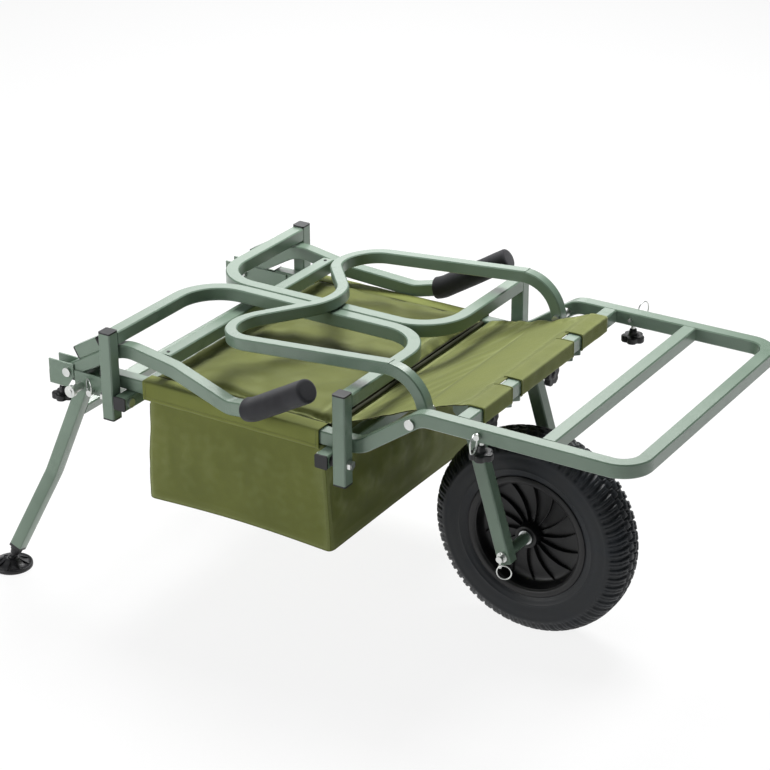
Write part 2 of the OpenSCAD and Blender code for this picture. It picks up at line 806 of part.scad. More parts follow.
// Plug in the end of a leg with a collar round the ball stud for the foot.
module leg_ends() {
    color("dimgray") placed() both_sides() {
        aim(leg_end, foot_at) {
            translate([seam, 0, 0]) end_cap(leg_tube, tube_wall, leg_cap_t);
            translate([leg_cap_t, 0, 0]) rotate([0, 90, 0])
                cylinder(h = leg_collar, d1 = leg_tube - 2.4, d2 = 15);
            rod_x(0, foot_stem, 8);
        }
        translate(foot_at) sphere(d = foot_ball);
    }
}

// Mud foot with a cupped socket round the ball.
module mud_foot() {
    color("dimgray") placed() translate([foot_at[0], foot_at[1], 0]) difference() {
        union() {
            cylinder(h = foot_edge, d = foot_d);
            translate([0, 0, foot_edge])
                cylinder(h = foot_at_z() - foot_edge + 1, d1 = foot_d * 0.72, d2 = foot_ball + 10);
        }
        translate([0, 0, foot_at_z()]) sphere(d = foot_ball + 2 * gap);
    }
}

module right_foot() {
    right_side() mud_foot();
}

module left_foot() {
    mud_foot();
}

module leg_pin() {
    color("silver") placed() translate([-leg_pin_x, half_bed + 10, leg_pin_z])
        ring_pin(22 + tube, 33, 100, 13);
}

module right_leg_pin() {
    right_side() leg_pin();
}

module left_leg_pin() {
    leg_pin();
}

// Clamp knob under the stop block.
module leg_knob() {
    color("dimgray") placed() translate([knob_x(), rail_y, hinge_z - tube / 2 - stem_show])
        rotate([0, 90, 0])
        star_knob(stem_show + tube_wall + 4);
}

module right_leg_knob() {
    right_side() leg_knob();
}

module left_leg_knob() {
    leg_knob();
}

ext_y = rail_y;
ext_end = ext_front - tube / 2;

module extension() {
    color("darkseagreen") placed() translate([0, 0, front_z]) bent_tube([
        [joint_x, -ext_y], [ext_end, -ext_y], [ext_end, ext_y], [joint_x, ext_y]
    ], repeat(ext_bend, 4));
}

module extension_bar() {
    color("darkseagreen") placed() translate([joint_x + ext_bar_x, 0, front_z]) lateral(2 * rail_in);
}

spigot = tube - 2 * tube_wall - 2 * fit;

// Forked plugs that slide in the rails, with the ring pin between their prongs.
// Two flat bars a side, over and under the ring pin.
module extension_spigots() {
    color("darkseagreen") placed() both_sides()
        for (z = [-spigot / 2, spigot / 2 - spigot_prong])
            translate([joint_x - spigot_in, ext_y - spigot / 2, front_z + z])
                cube([spigot_in + spigot_out, spigot, spigot_prong]);
}

module extension_pin(lift) {
    color("silver") placed() translate([pin_pull_x, half_bed + pin_clear, front_z])
        ring_pin(tube + 7, 80, lift, 16);
}

module right_extension_pin() {
    right_side() extension_pin(-25);
}

module left_extension_pin() {
    extension_pin(10);
}

module extension_knob() {
    color("dimgray") placed() translate([pin_pull_x, rail_y, front_z - tube / 2 - stem_show])
        rotate([0, 90, 0])
        star_knob(stem_show + tube_wall - 0.2);
}

module right_extension_knob() {
    right_side() extension_knob();
}

module left_extension_knob() {
    extension_knob();
}

fork_len = (front_z - tube / 2 - 16 - axle_z) / cos(fork_lean);

module fork_legs() {
    color("darkseagreen") placed() both_sides() difference() {
        translate([axle_x, fork_w / 2, axle_z]) rotate([0, -90 - fork_lean, 0]) {
            translate([-14, 0, 0]) straight(fork_len + 14);
        }
        translate([axle_x, 0, axle_z]) rod_y(0, far, axle_d + 2 * fit);
    }
}

hub_w = 78;
hub_r = 21;

module axle_tubes() {
    color("darkseagreen") placed() both_sides() translate([axle_x, 0, axle_z]) difference() {
        rod_y(hub_w / 2 + 1, fork_w / 2 - tube / 2 - hub_w / 2 - 1, 20);
        rod_y(0, far, axle_d + 2 * fit);
    }
}

axle_half = fork_w / 2 + tube / 2 + 12;

module axle() {
    color("silver") placed() translate([axle_x, 0, axle_z]) difference() {
        union() {
            rod_y(-axle_half, 2 * axle_half, axle_d);
            for (s = [-1, 1]) rod_y(s * (fork_w / 2 + tube / 2 + gap + 1) - 1, 2, 20);
        }
        for (y = [-axle_half + 5, axle_half - 5]) translate([0, y, -far / 2]) cylinder(h = far, d = 3.2);
    }
}

// Linch pin down through the end of the axle, with its pull ring below.
module axle_pin() {
    color("silver") placed() translate([axle_x, axle_half - 5, axle_z]) {
        translate([0, 0, -12]) cylinder(h = 22, d = 3);
        translate([0, 0, -15]) sphere(d = 7);
        translate([8, 0, -24]) rotate([90, 0, -15]) rotate_extrude() translate([13, 0])
            circle(d = 2.4, $fn = 16);
    }
}

module right_axle_pin() {
    right_side() axle_pin();
}

module left_axle_pin() {
    axle_pin();
}

module fork_knob() {
    color("dimgray") placed() translate([fork_knob_x(), fork_w / 2, fork_knob_z]) star_knob(fork_stem());
}

function fork_stem() = fork_knob_x() - fork_x(fork_knob_z) - tube / 2 / cos(fork_lean) - 2.5;

module right_fork_knob() {
    right_side() fork_knob();
}

module left_fork_knob() {
    fork_knob();
}

tyre_r = tyre_d / 2;
rim_r = rim_d / 2;

// Pneumatic tyre with cut shoulder blocks.
module tyre() {
    w = tyre_w / 2;
    color("dimgray") placed() translate([axle_x, 0, axle_z]) rotate([90, 0, 0]) difference() {
        rotate_extrude($fn = 96) polygon([
            [rim_r - 14, -34.9], [rim_r + 1.3, -36.6], [rim_r + 6, -w + 4], [rim_r + 26, -w],
            [tyre_r - 34, -w + 1], [tyre_r - 20, -w + 5], [tyre_r - 11, -w + 12],
            [tyre_r - 4, -w + 22], [tyre_r, -12], [tyre_r, 12], [tyre_r - 4, w - 22], [tyre_r - 11, w - 12],
            [tyre_r - 20, w - 5], [tyre_r - 34, w - 1], [rim_r + 26, w], [rim_r + 6, w - 4],
            [rim_r + 1.3, 36.6],
            [rim_r - 14, 34.9], [rim_r - 8, 24],
            [rim_r + 16, w - 12], [tyre_r - 34, w - 12], [tyre_r - 18, 20], [tyre_r - 12, 12],
            [tyre_r - 12, -12],
            [tyre_r - 18, -20], [tyre_r - 34, 12 - w], [rim_r + 16, 12 - w], [rim_r - 8, -24]
        ]);
        for (i = [0 : 35], s = [-1, 1]) rotate(10 * i + (s > 0 ? 5 : 0))
            translate([tyre_r - 8, -3, s > 0 ? 14 : -far / 2 - 14]) cube([20, 6, far / 2]);
    }
}

// Middle of the moulded wheel: hub, dished centre, rim bed and curved ribs on both faces.
module wheel_disc() {
    rim_bed = rim_r - 16;
    color("gray") placed() translate([axle_x, 0, axle_z]) rotate([90, 0, 0]) difference() {
        union() {
            rotate_extrude($fn = 96) polygon([
                [0, -rib_top], [hub_r, -rib_top], [hub_r, -10], [rim_r - 26, -10],
                [rim_r - 26 + (rib_top - 10) / 5, -rib_top], [rim_bed, -rib_top], [rim_bed, rib_top],
                [rim_r - 26 + (rib_top - 10) / 5, rib_top], [rim_r - 26, 10],
                [hub_r, 10], [hub_r, rib_top], [0, rib_top]
            ]);
            for (i = [0 : ribs - 1]) rotate(360 / ribs * i) {
                translate([0, 0, 9]) linear_extrude(rib_top - 9) rib_shape();
                translate([0, 0, -rib_top]) linear_extrude(rib_top - 9) rib_shape();
            }
        }
        translate([0, 0, -far / 2]) cylinder(h = far, d = 26 + 2 * fit);
    }
}

// The wheel's outer rims, one on each side of its middle, with the flange that holds the tyre.
module wheel_flanges() {
    color("gray") placed() both_sides() translate([axle_x, 0, axle_z]) rotate([90, 0, 0])
        rotate_extrude($fn = 96) polygon([
            [rim_r - 26 + (rib_top - 10) / 5, rib_top], [rim_r - 16, rib_top], [rim_r - 16, 30],
            [rim_r - 14.5, 33.5], [rim_r - 14.5, 35.5], [rim_r + 1, 37], [rim_r + 1, hub_w / 2],
            [rim_r - 20, hub_w / 2], [rim_r - 22, 30]
        ]);
}

// Ends of the moulded hub that stand out of the wheel's middle round the bearings.
module hub_ends() {
    color("gray") placed() both_sides() translate([axle_x, 0, axle_z]) difference() {
        rod_y(rib_top, hub_w / 2 - rib_top, 2 * hub_r);
        rod_y(0, far, 26 + 2 * fit);
    }
}

// A rib curved from the hub out to the rim.
module rib_shape() {
    r0 = 19;
    r1 = rim_r - 23;
    n = 8;
    pts = [for (i = [0 : n]) let (t = i / n, r = r0 + (r1 - r0) * t, a = 26 * t * t) r * [cos(a), sin(a)]];
    polygon(concat([for (p = pts) p + [0, 1.5]], [for (i = [n : -1 : 0]) pts[i] - [0, 1.5]]));
}

module hub_bearings() {
    color("silver") placed() translate([axle_x, 0, axle_z]) difference() {
        rod_y(-hub_w / 2 - 0.6, hub_w + 1.2, 26);
        rod_y(-far / 2, far, axle_d + 2 * fit);
    }
}

side_rails();
cross_members();
wheel_bar();
frame_caps();
rear_plates();
hinge_cheeks();
stop_blocks();
fork_brackets();
guard_bolts();
guard_spacers();
front_guard_bolts();
front_guard_spacers();
handle_bolts();
leg_bolts();
bag();
bag_lid();
front_apron();
right_guard();
right_guard_caps();
left_guard();
left_guard_caps();
front_guard();
front_guard_caps();
handle_links();
handle_frame();
handle_crossbar();
handle_screws();
stop_caps();
handle_caps();
grips();
legs();
leg_crossbar();
leg_ends();
right_foot();
left_foot();
right_leg_pin();
left_leg_pin();
right_leg_knob();
left_leg_knob();
extension();
extension_bar();
extension_spigots();
right_extension_pin();
left_extension_pin();
right_extension_knob();
left_extension_knob();
fork_legs();
axle_tubes();
axle();
right_axle_pin();
left_axle_pin();
right_fork_knob();
left_fork_knob();
tyre();
wheel_disc();
wheel_flanges();
hub_ends();
hub_bearings();
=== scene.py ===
import bpy
import json
import math
import numpy as np
from mathutils import Matrix, Vector, noise


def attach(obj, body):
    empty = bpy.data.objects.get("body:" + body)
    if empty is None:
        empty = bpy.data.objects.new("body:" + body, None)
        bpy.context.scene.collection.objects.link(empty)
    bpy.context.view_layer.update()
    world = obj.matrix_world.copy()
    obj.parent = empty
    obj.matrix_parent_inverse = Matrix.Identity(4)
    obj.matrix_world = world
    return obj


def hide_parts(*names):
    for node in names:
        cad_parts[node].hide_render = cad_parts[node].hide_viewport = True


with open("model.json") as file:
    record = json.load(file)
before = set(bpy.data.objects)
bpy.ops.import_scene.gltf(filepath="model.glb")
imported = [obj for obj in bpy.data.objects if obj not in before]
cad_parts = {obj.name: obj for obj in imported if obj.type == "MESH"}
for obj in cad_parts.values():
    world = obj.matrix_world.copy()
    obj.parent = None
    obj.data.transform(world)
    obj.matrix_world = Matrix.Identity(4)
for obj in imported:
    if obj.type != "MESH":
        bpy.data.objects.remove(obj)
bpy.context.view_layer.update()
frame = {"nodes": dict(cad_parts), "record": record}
nodes = frame["nodes"]
middleX = 368.82  # mm from the rear posts to the middle of the length


def place(x, y, z):  # mm from the rear posts, to metres in the frame
    return Vector(((x - middleX) / 1000, y / 1000, z / 1000))


# camera, floor and light

view = {
    "eye": (1.97309, -3.13606, 2.12839),
    "turn": 32.04,
    "tilt": 25.12,
    "roll": -0.21,
    "lens": 107.06,
}
light = {
    "world": 0.15, "sky": (0.93, 0.97, 1.0, 1),
    "floor": (0.95, 0.95, 0.95), "floorReach": 14, "floorGlow": 0.86,
    "lamps": {  # size, power, place and the point that it is turned to
        "topLamp": (1.7, 165.0, (-0.3, 1.4, 3.1), (0, 0, 0.3)),
        "backLamp": (2.2, 30.0, (-2.2, 3.3, 2.0), (0, 0, 0.4)),
        "sideLamp": (2.0, 62.0, (-2.3, -2.9, 1.5), (0, 0, 0.25)),
    },
}
white = (1, 1, 1, 1)


def makeCamera():
    data = bpy.data.cameras.new("photoCamera")
    data.lens = view["lens"]
    data.sensor_width = 36
    data.clip_end = 60
    eye = bpy.data.objects.new("photoCamera", data)
    bpy.context.scene.collection.objects.link(eye)
    spin = Matrix.Rotation(math.radians(view["turn"]), 4, "Z")
    lean = Matrix.Rotation(math.radians(90 - view["tilt"]), 4, "X")
    roll = Matrix.Rotation(math.radians(view["roll"]), 4, "Z")
    eye.matrix_world = Matrix.Translation(view["eye"]) @ spin @ lean @ roll
    bpy.context.scene.camera = eye


class Flow:  # a shader socket that takes part in sums
    def __init__(self, finish, socket):
        self.finish = finish
        self.socket = socket

    def sum(self, kind, a, b):
        return self.finish.node("ShaderNodeMath", {"operation": kind}, {0: a, 1: b})

    def __add__(self, other):
        return self.sum("ADD", self, other)

    def __radd__(self, other):
        return self.sum("ADD", other, self)

    def __sub__(self, other):
        return self.sum("SUBTRACT", self, other)

    def __rsub__(self, other):
        return self.sum("SUBTRACT", other, self)

    def __mul__(self, other):
        return self.sum("MULTIPLY", self, other)

    def __rmul__(self, other):
        return self.sum("MULTIPLY", other, self)


class Finish:  # one material and its nodes
    def __init__(self, name, look):
        self.material = bpy.data.materials.new(name)
        self.material.use_nodes = True
        self.tree = self.material.node_tree
        self.tree.nodes.clear()
        self.out = self.tree.nodes.new("ShaderNodeOutputMaterial")
        self.shader = self.tree.nodes.new("ShaderNodeBsdfPrincipled")
        self.tree.links.new(self.shader.outputs[0], self.out.inputs[0])
        for key, value in look.items():
            self.give(key, value)

    def node(self, kind, settings, inputs, output=0):
        made = self.tree.nodes.new(kind)
        for key, value in settings.items():
            setattr(made, key, value)
        for key, value in inputs.items():
            self.join(made.inputs[key], value)
        return Flow(self, made.outputs[output])

    def join(self, socket, value):
        if isinstance(value, Flow):
            self.tree.links.new(value.socket, socket)
        elif isinstance(value, (tuple, list)) and len(value) == 3 and socket.type == "RGBA":
            socket.default_value = (*value, 1)
        else:
            socket.default_value = value

    def give(self, key, value):
        self.join(self.shader.inputs[key], value)

    def coords(self, kind="Object"):
        return self.node("ShaderNodeTexCoord", {}, {}, kind)

    def noise(self, scale, detail, rough=0.5):
        return self.node("ShaderNodeTexNoise", {}, {
            "Vector": self.coords(), "Scale": scale, "Detail": detail, "Roughness": rough,
        })

    def ramp(self, value, low, high):
        return self.node("ShaderNodeMapRange", {"clamp": True}, {
            "Value": value, "From Min": low, "From Max": high,
        })

    def patches(self, scale, detail, low, high, rough=0.5):  # soft-edged areas, 0 to 1
        return self.ramp(self.noise(scale, detail, rough), low, high)

    def mix(self, factor, a, b):
        return self.node("ShaderNodeMix", {"data_type": "RGBA"}, {0: factor, 6: a, 7: b}, 2)

    def bump(self, height, strength, distance, under=None):
        inputs = {"Height": height, "Strength": strength, "Distance": distance}
        if under:
            inputs["Normal"] = under
        return self.node("ShaderNodeBump", {}, inputs)


def makeStage():
    reach = (-light["floorReach"], 0, light["floorReach"])
    floor = gridPiece("floor", [[Vector((x, y, 0)) for y in reach] for x in reach])
    finish = Finish("paleFloor", {"Base Color": light["floor"], "Roughness": 1.0, "Specular IOR Level": 0.0})
    rays = finish.tree.nodes.new("ShaderNodeLightPath")
    seen = Flow(finish, rays.outputs["Is Camera Ray"]) + Flow(finish, rays.outputs["Is Glossy Ray"])
    seen = seen + Flow(finish, rays.outputs["Is Transmission Ray"])
    plain = Flow(finish, finish.shader.outputs[0])
    glow = finish.node("ShaderNodeEmission", {}, {"Color": white, "Strength": 1.0})
    both = finish.node("ShaderNodeMixShader", {}, {0: seen * light["floorGlow"], 1: plain, 2: glow})
    finish.tree.links.new(both.socket, finish.out.inputs[0])
    floor.data.materials.append(finish.material)
    world = bpy.data.worlds.new("studio")
    bpy.context.scene.world = world
    world.use_nodes = True
    tree = world.node_tree
    tree.nodes.clear()
    add, link = tree.nodes.new, tree.links.new
    soft = add("ShaderNodeBackground")
    soft.inputs[0].default_value = light["sky"]
    soft.inputs[1].default_value = light["world"]
    bright = add("ShaderNodeBackground")
    bright.inputs[0].default_value = white
    paths = add("ShaderNodeLightPath")
    total = add("ShaderNodeMath")
    pick = add("ShaderNodeMixShader")
    link(paths.outputs["Is Camera Ray"], total.inputs[0])
    link(paths.outputs["Is Transmission Ray"], total.inputs[1])
    link(total.outputs[0], pick.inputs[0])
    link(soft.outputs[0], pick.inputs[1])
    link(bright.outputs[0], pick.inputs[2])
    link(pick.outputs[0], add("ShaderNodeOutputWorld").inputs[0])
    for name, (size, power, spot, aim) in light["lamps"].items():
        data = bpy.data.lights.new(name, "AREA")
        data.size = size
        data.energy = power
        lamp = bpy.data.objects.new(name, data)
        bpy.context.scene.collection.objects.link(lamp)
        lamp.location = spot
        lamp.rotation_euler = (Vector(aim) - Vector(spot)).to_track_quat("-Z", "Y").to_euler()
    bpy.context.scene.view_settings.view_transform = "Standard"


# how meshes are made, joined and dressed

def meshPiece(name, points, faces, uvs=None, smooth=True):
    mesh = bpy.data.meshes.new(name)
    mesh.from_pydata([tuple(p) for p in points], [], faces)
    if uvs is not None:
        layer = mesh.uv_layers.new(name="cut")
        for loop in mesh.loops:
            layer.data[loop.index].uv = uvs[loop.vertex_index]
    mesh.validate()
    mesh.polygons.foreach_set("use_smooth", [smooth] * len(mesh.polygons))
    made = bpy.data.objects.new(name, mesh)
    bpy.context.scene.collection.objects.link(made)
    return made


def gridPiece(name, rows, closed=False, smooth=True, closeEnds=False, uvs=None, flip=False):
    # rows of points; closed joins each row's end to its start
    high, wide = len(rows), len(rows[0])
    faces = []
    for i in range(high - 1):
        for j in range(wide if closed else wide - 1):
            k = (j + 1) % wide
            quad = (i * wide + j, i * wide + k, (i + 1) * wide + k, (i + 1) * wide + j)
            faces.append(quad[::-1] if flip else quad)
    points = [p for row in rows for p in row]
    if closeEnds:
        first = tuple(range(wide))
        last = tuple((high - 1) * wide + j for j in range(wide))
        faces += [first if flip else first[::-1], last[::-1] if flip else last]
    flat = [uv for row in uvs for uv in row] if uvs else None
    return meshPiece(name, points, faces, flat, smooth)


def readPoints(mesh, key="co"):  # the mesh's points or normals as one table
    flat = np.zeros(len(mesh.vertices) * 3)
    mesh.vertices.foreach_get(key, flat)
    return flat.reshape(-1, 3)


def turns(count):  # the angles of one full turn in even steps
    return [2 * math.pi * j / count for j in range(count)]


def addWall(piece, thickness, offset):  # thickness in mm
    wall = piece.modifiers.new("cloth thickness", "SOLIDIFY")
    wall.thickness = thickness / 1000
    wall.offset = offset
    wall.use_even_offset = False


def bakeModifiers(piece):  # turns what the modifiers make into the piece's own mesh
    shown = piece.evaluated_get(bpy.context.evaluated_depsgraph_get())
    mesh = bpy.data.meshes.new_from_object(shown)
    if piece.type == "MESH":
        piece.modifiers.clear()
        piece.data = mesh
        return piece
    made = bpy.data.objects.new(piece.name + "Mesh", mesh)
    bpy.context.scene.collection.objects.link(made)
    bpy.data.objects.remove(piece)
    return made


def welded(piece, reach):  # joins the points that lie together
    weld = piece.modifiers.new("weld", "WELD")
    weld.merge_threshold = reach
    return bakeModifiers(piece)


def joinPieces(name, parts):
    bpy.ops.object.select_all(action="DESELECT")
    for part in parts:
        part.select_set(True)
    bpy.context.view_layer.objects.active = parts[0]
    if len(parts) > 1:
        bpy.ops.object.join()
    parts[0].name = name
    parts[0].data.name = name
    return parts[0]


def mirrored(piece, name):
    mesh = piece.data.copy()
    mesh.transform(Matrix.Diagonal((1, -1, 1, 1)))
    mesh.flip_normals()
    made = bpy.data.objects.new(name, mesh)
    bpy.context.scene.collection.objects.link(made)
    for modifier in piece.modifiers:
        copy = made.modifiers.new(modifier.name, modifier.type)
        for key in ("thickness", "offset", "use_even_offset"):
            setattr(copy, key, getattr(modifier, key))
    return made


def crisp(piece):  # keeps edges that turn by more than 28 degrees hard on a smooth-shaded piece
    piece.data.set_sharp_from_angle(angle=math.radians(28))
    return piece


def dress(piece, finish, body):
    piece.data.materials.clear()
    piece.data.materials.append(finish.material)
    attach(piece, body)
    return piece


def wave(x, y, z, scale, seed=0.0):  # smooth value from -1 to 1
    return noise.noise(Vector((x * scale + seed, y * scale - seed, z * scale + 2 * seed)))


def ripple(x, y, z, kind):  # one kind of crease in cloth, in mm
    scale, seed, height = kind
    return wave(x, y, z, scale, seed) * height


def smoothstep(low, high, x):
    t = min(1.0, max(0.0, (x - low) / (high - low)))
    return t * t * (3 - 2 * t)


# finishes

paint = {
    "green": (0.130, 0.195, 0.140), "pale": (0.165, 0.232, 0.175), "speck": (0.14, 0.18, 0.14),
    "roughness": 0.24,
}
plastic = {"black": (0.008, 0.008, 0.009), "worn": (0.016, 0.016, 0.018), "grain": 900.0}
# a darker black than the other plastic: painted shade on the wheel disc and ribs
shadedWheelPlastic = {"black": (0.0025, 0.0025, 0.003), "worn": (0.006, 0.006, 0.007), "grain": 600.0}
steel = {"zinc": (0.74, 0.75, 0.73), "bearing": (0.62, 0.63, 0.64), "dull": (0.60, 0.62, 0.60)}
canvas = {
    "olive": (0.115, 0.132, 0.022), "sunny": (0.150, 0.168, 0.036), "slub": (0.10, 0.115, 0.035),
    "ridge": (0.27, 0.30, 0.12), "hollowShade": (0.085, 0.10, 0.03),
    "thread": 0.0011, "weave": 0.22,
}
webbing = {"dark": (0.016, 0.017, 0.009), "pale": (0.04, 0.042, 0.022)}
yarn = {"dark": (0.13, 0.14, 0.05), "pale": (0.26, 0.28, 0.12)}
# the blue cast in both colours is a painted bluish sheen; the patches mix in dust
rubber = {"dark": (0.0045, 0.0065, 0.0090), "dustAndSheen": (0.012, 0.016, 0.022)}
foam = {"dark": (0.018, 0.018, 0.021), "pale": (0.030, 0.030, 0.034)}


def paintFinish():
    f = Finish("framePaint", {"Coat Roughness": 0.3, "Specular IOR Level": 0.5})
    patch = f.patches(7.0, 3.0, 0.35, 0.65)
    fine = f.noise(1400.0, 2.0)
    speck = f.patches(260.0, 3.0, 0.66, 0.72)
    colour = f.mix(patch, paint["green"], paint["pale"])
    f.give("Base Color", f.mix(speck * 0.25, colour, paint["speck"]))
    f.give("Roughness", paint["roughness"] + patch * 0.06 + fine * 0.05)
    f.give("Coat Weight", 0.45 - patch * 0.15)
    f.give("Normal", f.bump(fine, 0.10, 0.0004, f.bump(f.noise(90.0, 2.0), 0.12, 0.0008)))
    return f


def plasticFinish(name, look):
    f = Finish(name, {"Specular IOR Level": 0.45})
    cloudy = f.patches(22.0, 3.0, 0.35, 0.7)
    fine = f.noise(look["grain"], 2.0)
    f.give("Base Color", f.mix(cloudy, look["black"], look["worn"]))
    f.give("Roughness", 0.36 + cloudy * 0.14 + fine * 0.06)
    f.give("Normal", f.bump(fine, 0.18, 0.0005))
    return f


def steelFinish(name, base):
    f = Finish(name, {"Metallic": 1.0})
    cloudy = f.patches(60.0, 4.0, 0.3, 0.7)
    fine = f.noise(1800.0, 2.0)
    f.give("Base Color", f.mix(cloudy, base, steel["dull"]))
    f.give("Roughness", 0.24 + cloudy * 0.16 + fine * 0.05)
    f.give("Normal", f.bump(fine, 0.08, 0.0004))
    return f


def canvasFinish(name, tint):  # tint makes all its colours brighter or darker
    f = Finish(name, {"Sheen Weight": 0.12, "Sheen Roughness": 0.5, "Specular IOR Level": 0.25})
    dye = {key: tuple(c * tint for c in canvas[key]) for key in ("olive", "sunny", "slub", "ridge", "hollowShade")}
    split = f.tree.nodes.new("ShaderNodeSeparateXYZ")
    f.join(split.inputs[0], f.coords("UV"))
    step = 2 * math.pi / canvas["thread"]
    warp = f.node("ShaderNodeMath", {"operation": "SINE"}, {0: Flow(f, split.outputs[0]) * step})
    weft = f.node("ShaderNodeMath", {"operation": "SINE"}, {0: Flow(f, split.outputs[1]) * step})
    weave = warp * weft * 0.5 + 0.5
    faded = f.patches(9.0, 4.0, 0.3, 0.7)
    slub = f.patches(420.0, 2.0, 0.35, 0.7)
    # fold height: ridges above 0.5 fade lighter, hollows below 0.5 get painted shade
    worn = f.node("ShaderNodeAttribute", {"attribute_name": "fold"}, {}, 2)
    colour = f.mix(faded, dye["olive"], dye["sunny"])
    colour = f.mix(f.ramp(worn, 0.5, 1.0) * 0.55, colour, dye["ridge"])
    # painted shade in the hollows of the folds
    colour = f.mix(f.ramp(worn, 0.5, 0.0) * 0.5, colour, dye["hollowShade"])
    f.give("Base Color", f.mix(slub * 0.25 + weave * 0.12, colour, dye["slub"]))
    f.give("Roughness", 0.72 + faded * 0.12)
    creases = f.bump(f.noise(34.0, 4.0), 0.35, 0.0016)
    f.give("Normal", f.bump(weave, canvas["weave"], 0.0003, creases))
    return f


def tapeFinish():
    f = Finish("darkTape", {"Specular IOR Level": 0.2})
    rib = f.noise(900.0, 2.0)
    f.give("Base Color", f.mix(rib, webbing["dark"], webbing["pale"]))
    f.give("Roughness", 0.8 + rib * 0.1)
    f.give("Normal", f.bump(rib, 0.3, 0.0004))
    return f


def threadFinish():
    f = Finish("oliveThread", {"Roughness": 0.7})
    twist = f.noise(1500.0, 1.0)
    f.give("Base Color", f.mix(twist, yarn["dark"], yarn["pale"]))
    f.give("Normal", f.bump(twist, 0.3, 0.0003))
    return f


def rubberFinish():
    f = Finish("tyreRubber", {"Specular IOR Level": 0.4})
    dust = f.patches(16.0, 5.0, 0.42, 0.72, 0.6)
    fine = f.noise(700.0, 3.0)
    f.give("Base Color", f.mix(dust * 0.8, rubber["dark"], rubber["dustAndSheen"]))
    f.give("Roughness", 0.42 + dust * 0.2 + fine * 0.08)
    f.give("Normal", f.bump(fine, 0.22, 0.0005))
    return f


def foamFinish():
    f = Finish("gripFoam", {"Specular IOR Level": 0.25, "Sheen Weight": 0.15})
    cells = f.node("ShaderNodeTexVoronoi", {}, {"Vector": f.coords(), "Scale": 950.0})
    cloudy = f.patches(26.0, 3.0, 0.3, 0.7)
    f.give("Base Color", f.mix(cloudy, foam["dark"], foam["pale"]))
    f.give("Roughness", 0.84 + cells * 0.1)
    f.give("Normal", f.bump(cells, 0.35, 0.0005))
    return f


makeCamera()
makeStage()
frameGreen = paintFinish()
blackPlastic = plasticFinish("blackPlastic", plastic)
wheelPlastic = plasticFinish("wheelPlastic", shadedWheelPlastic)
zincSteel = steelFinish("zincSteel", steel["zinc"])
bearingSteel = steelFinish("bearingSteel", steel["bearing"])
oliveCanvas = canvasFinish("oliveCanvas", 1.0)
lidCanvas = canvasFinish("lidCanvas", 0.92)
# brighter copy of the canvas: painted light on the apron
apronCanvas = canvasFinish("apronCanvas", 1.1)
sleeveCanvas = canvasFinish("sleeveCanvas", 1.28)
darkTape = tapeFinish()
oliveThread = threadFinish()
tyreRubber = rubberFinish()
gripFoam = foamFinish()
print("stage: camera, light and finishes made")

bySlot = {
    "frame_paint": frameGreen,
    "black_plastic": blackPlastic,
    "zinc_steel": zincSteel,
    "bearing_steel": bearingSteel,
    "canvas": oliveCanvas,
    "grip_foam": gripFoam,
    "tyre_rubber": tyreRubber,
    "wheel_plastic": wheelPlastic,
}
for part in frame["record"]["subparts"]:
    solid = nodes[part["node"]]
    for hold in solid.material_slots:
        hold.material = bySlot[part["material_slot"]].material


# stitches and tapes along paths

thread = {"spacing": 4.2, "length": 3.1, "radius": 0.45, "sides": 6, "rings": 4}
tape = {
    "spacing": 6.0, "sides": 8,
    "bag": 1.15, "lidBinding": 1.6, "lidSeam": 0.8, "lidPiping": 1.9, "apron": 0.8, "groove": 3.6,  # radii
}


def pathTree(name, inputs, finish):
    # the ends of a tree: even points on its path first, real faces with their finish last
    tree = bpy.data.node_groups.new(name, "GeometryNodeTree")
    tree.interface.new_socket("Geometry", in_out="INPUT", socket_type="NodeSocketGeometry")
    tree.interface.new_socket("Geometry", in_out="OUTPUT", socket_type="NodeSocketGeometry")
    for label in inputs:
        tree.interface.new_socket(label, in_out="INPUT", socket_type="NodeSocketFloat")
    add, link = tree.nodes.new, tree.links.new
    start = add("NodeGroupInput")
    even = add("GeometryNodeResampleCurve")
    even.mode = "LENGTH"
    real = add("GeometryNodeRealizeInstances")
    dye = add("GeometryNodeSetMaterial")
    dye.inputs["Material"].default_value = finish.material
    link(start.outputs["Geometry"], even.inputs["Curve"])
    link(start.outputs["spacing"], even.inputs["Length"])
    link(real.outputs[0], dye.inputs["Geometry"])
    link(dye.outputs[0], add("NodeGroupOutput").inputs[0])
    return tree, start, even, real


def stitchTree():
    tree, start, even, real = pathTree("stitchRow", ("spacing", "length", "thread"), oliveThread)
    add, link = tree.nodes.new, tree.links.new
    tangent = add("GeometryNodeInputTangent")
    keep = add("GeometryNodeCaptureAttribute")
    keep.capture_items.new("VECTOR", "way")
    point = add("GeometryNodeCurveToPoints")
    point.mode = "EVALUATED"
    aim = add("FunctionNodeAlignEulerToVector")
    aim.axis = "Z"
    bead = add("GeometryNodeMeshUVSphere")
    bead.inputs["Segments"].default_value = thread["sides"]
    bead.inputs["Rings"].default_value = thread["rings"]
    bead.inputs["Radius"].default_value = 1.0
    half = add("ShaderNodeMath")
    half.operation = "MULTIPLY"
    half.inputs[1].default_value = 0.5
    size = add("ShaderNodeCombineXYZ")
    spread = add("GeometryNodeInstanceOnPoints")
    link(even.outputs[0], keep.inputs[0])
    link(tangent.outputs[0], keep.inputs[1])
    link(keep.outputs[0], point.inputs[0])
    link(keep.outputs[1], aim.inputs["Vector"])
    link(start.outputs["length"], half.inputs[0])
    link(start.outputs["thread"], size.inputs[0])
    link(start.outputs["thread"], size.inputs[1])
    link(half.outputs[0], size.inputs[2])
    link(point.outputs[0], spread.inputs["Points"])
    link(bead.outputs[0], spread.inputs["Instance"])
    link(aim.outputs[0], spread.inputs["Rotation"])
    link(size.outputs[0], spread.inputs["Scale"])
    link(spread.outputs[0], real.inputs[0])
    return tree


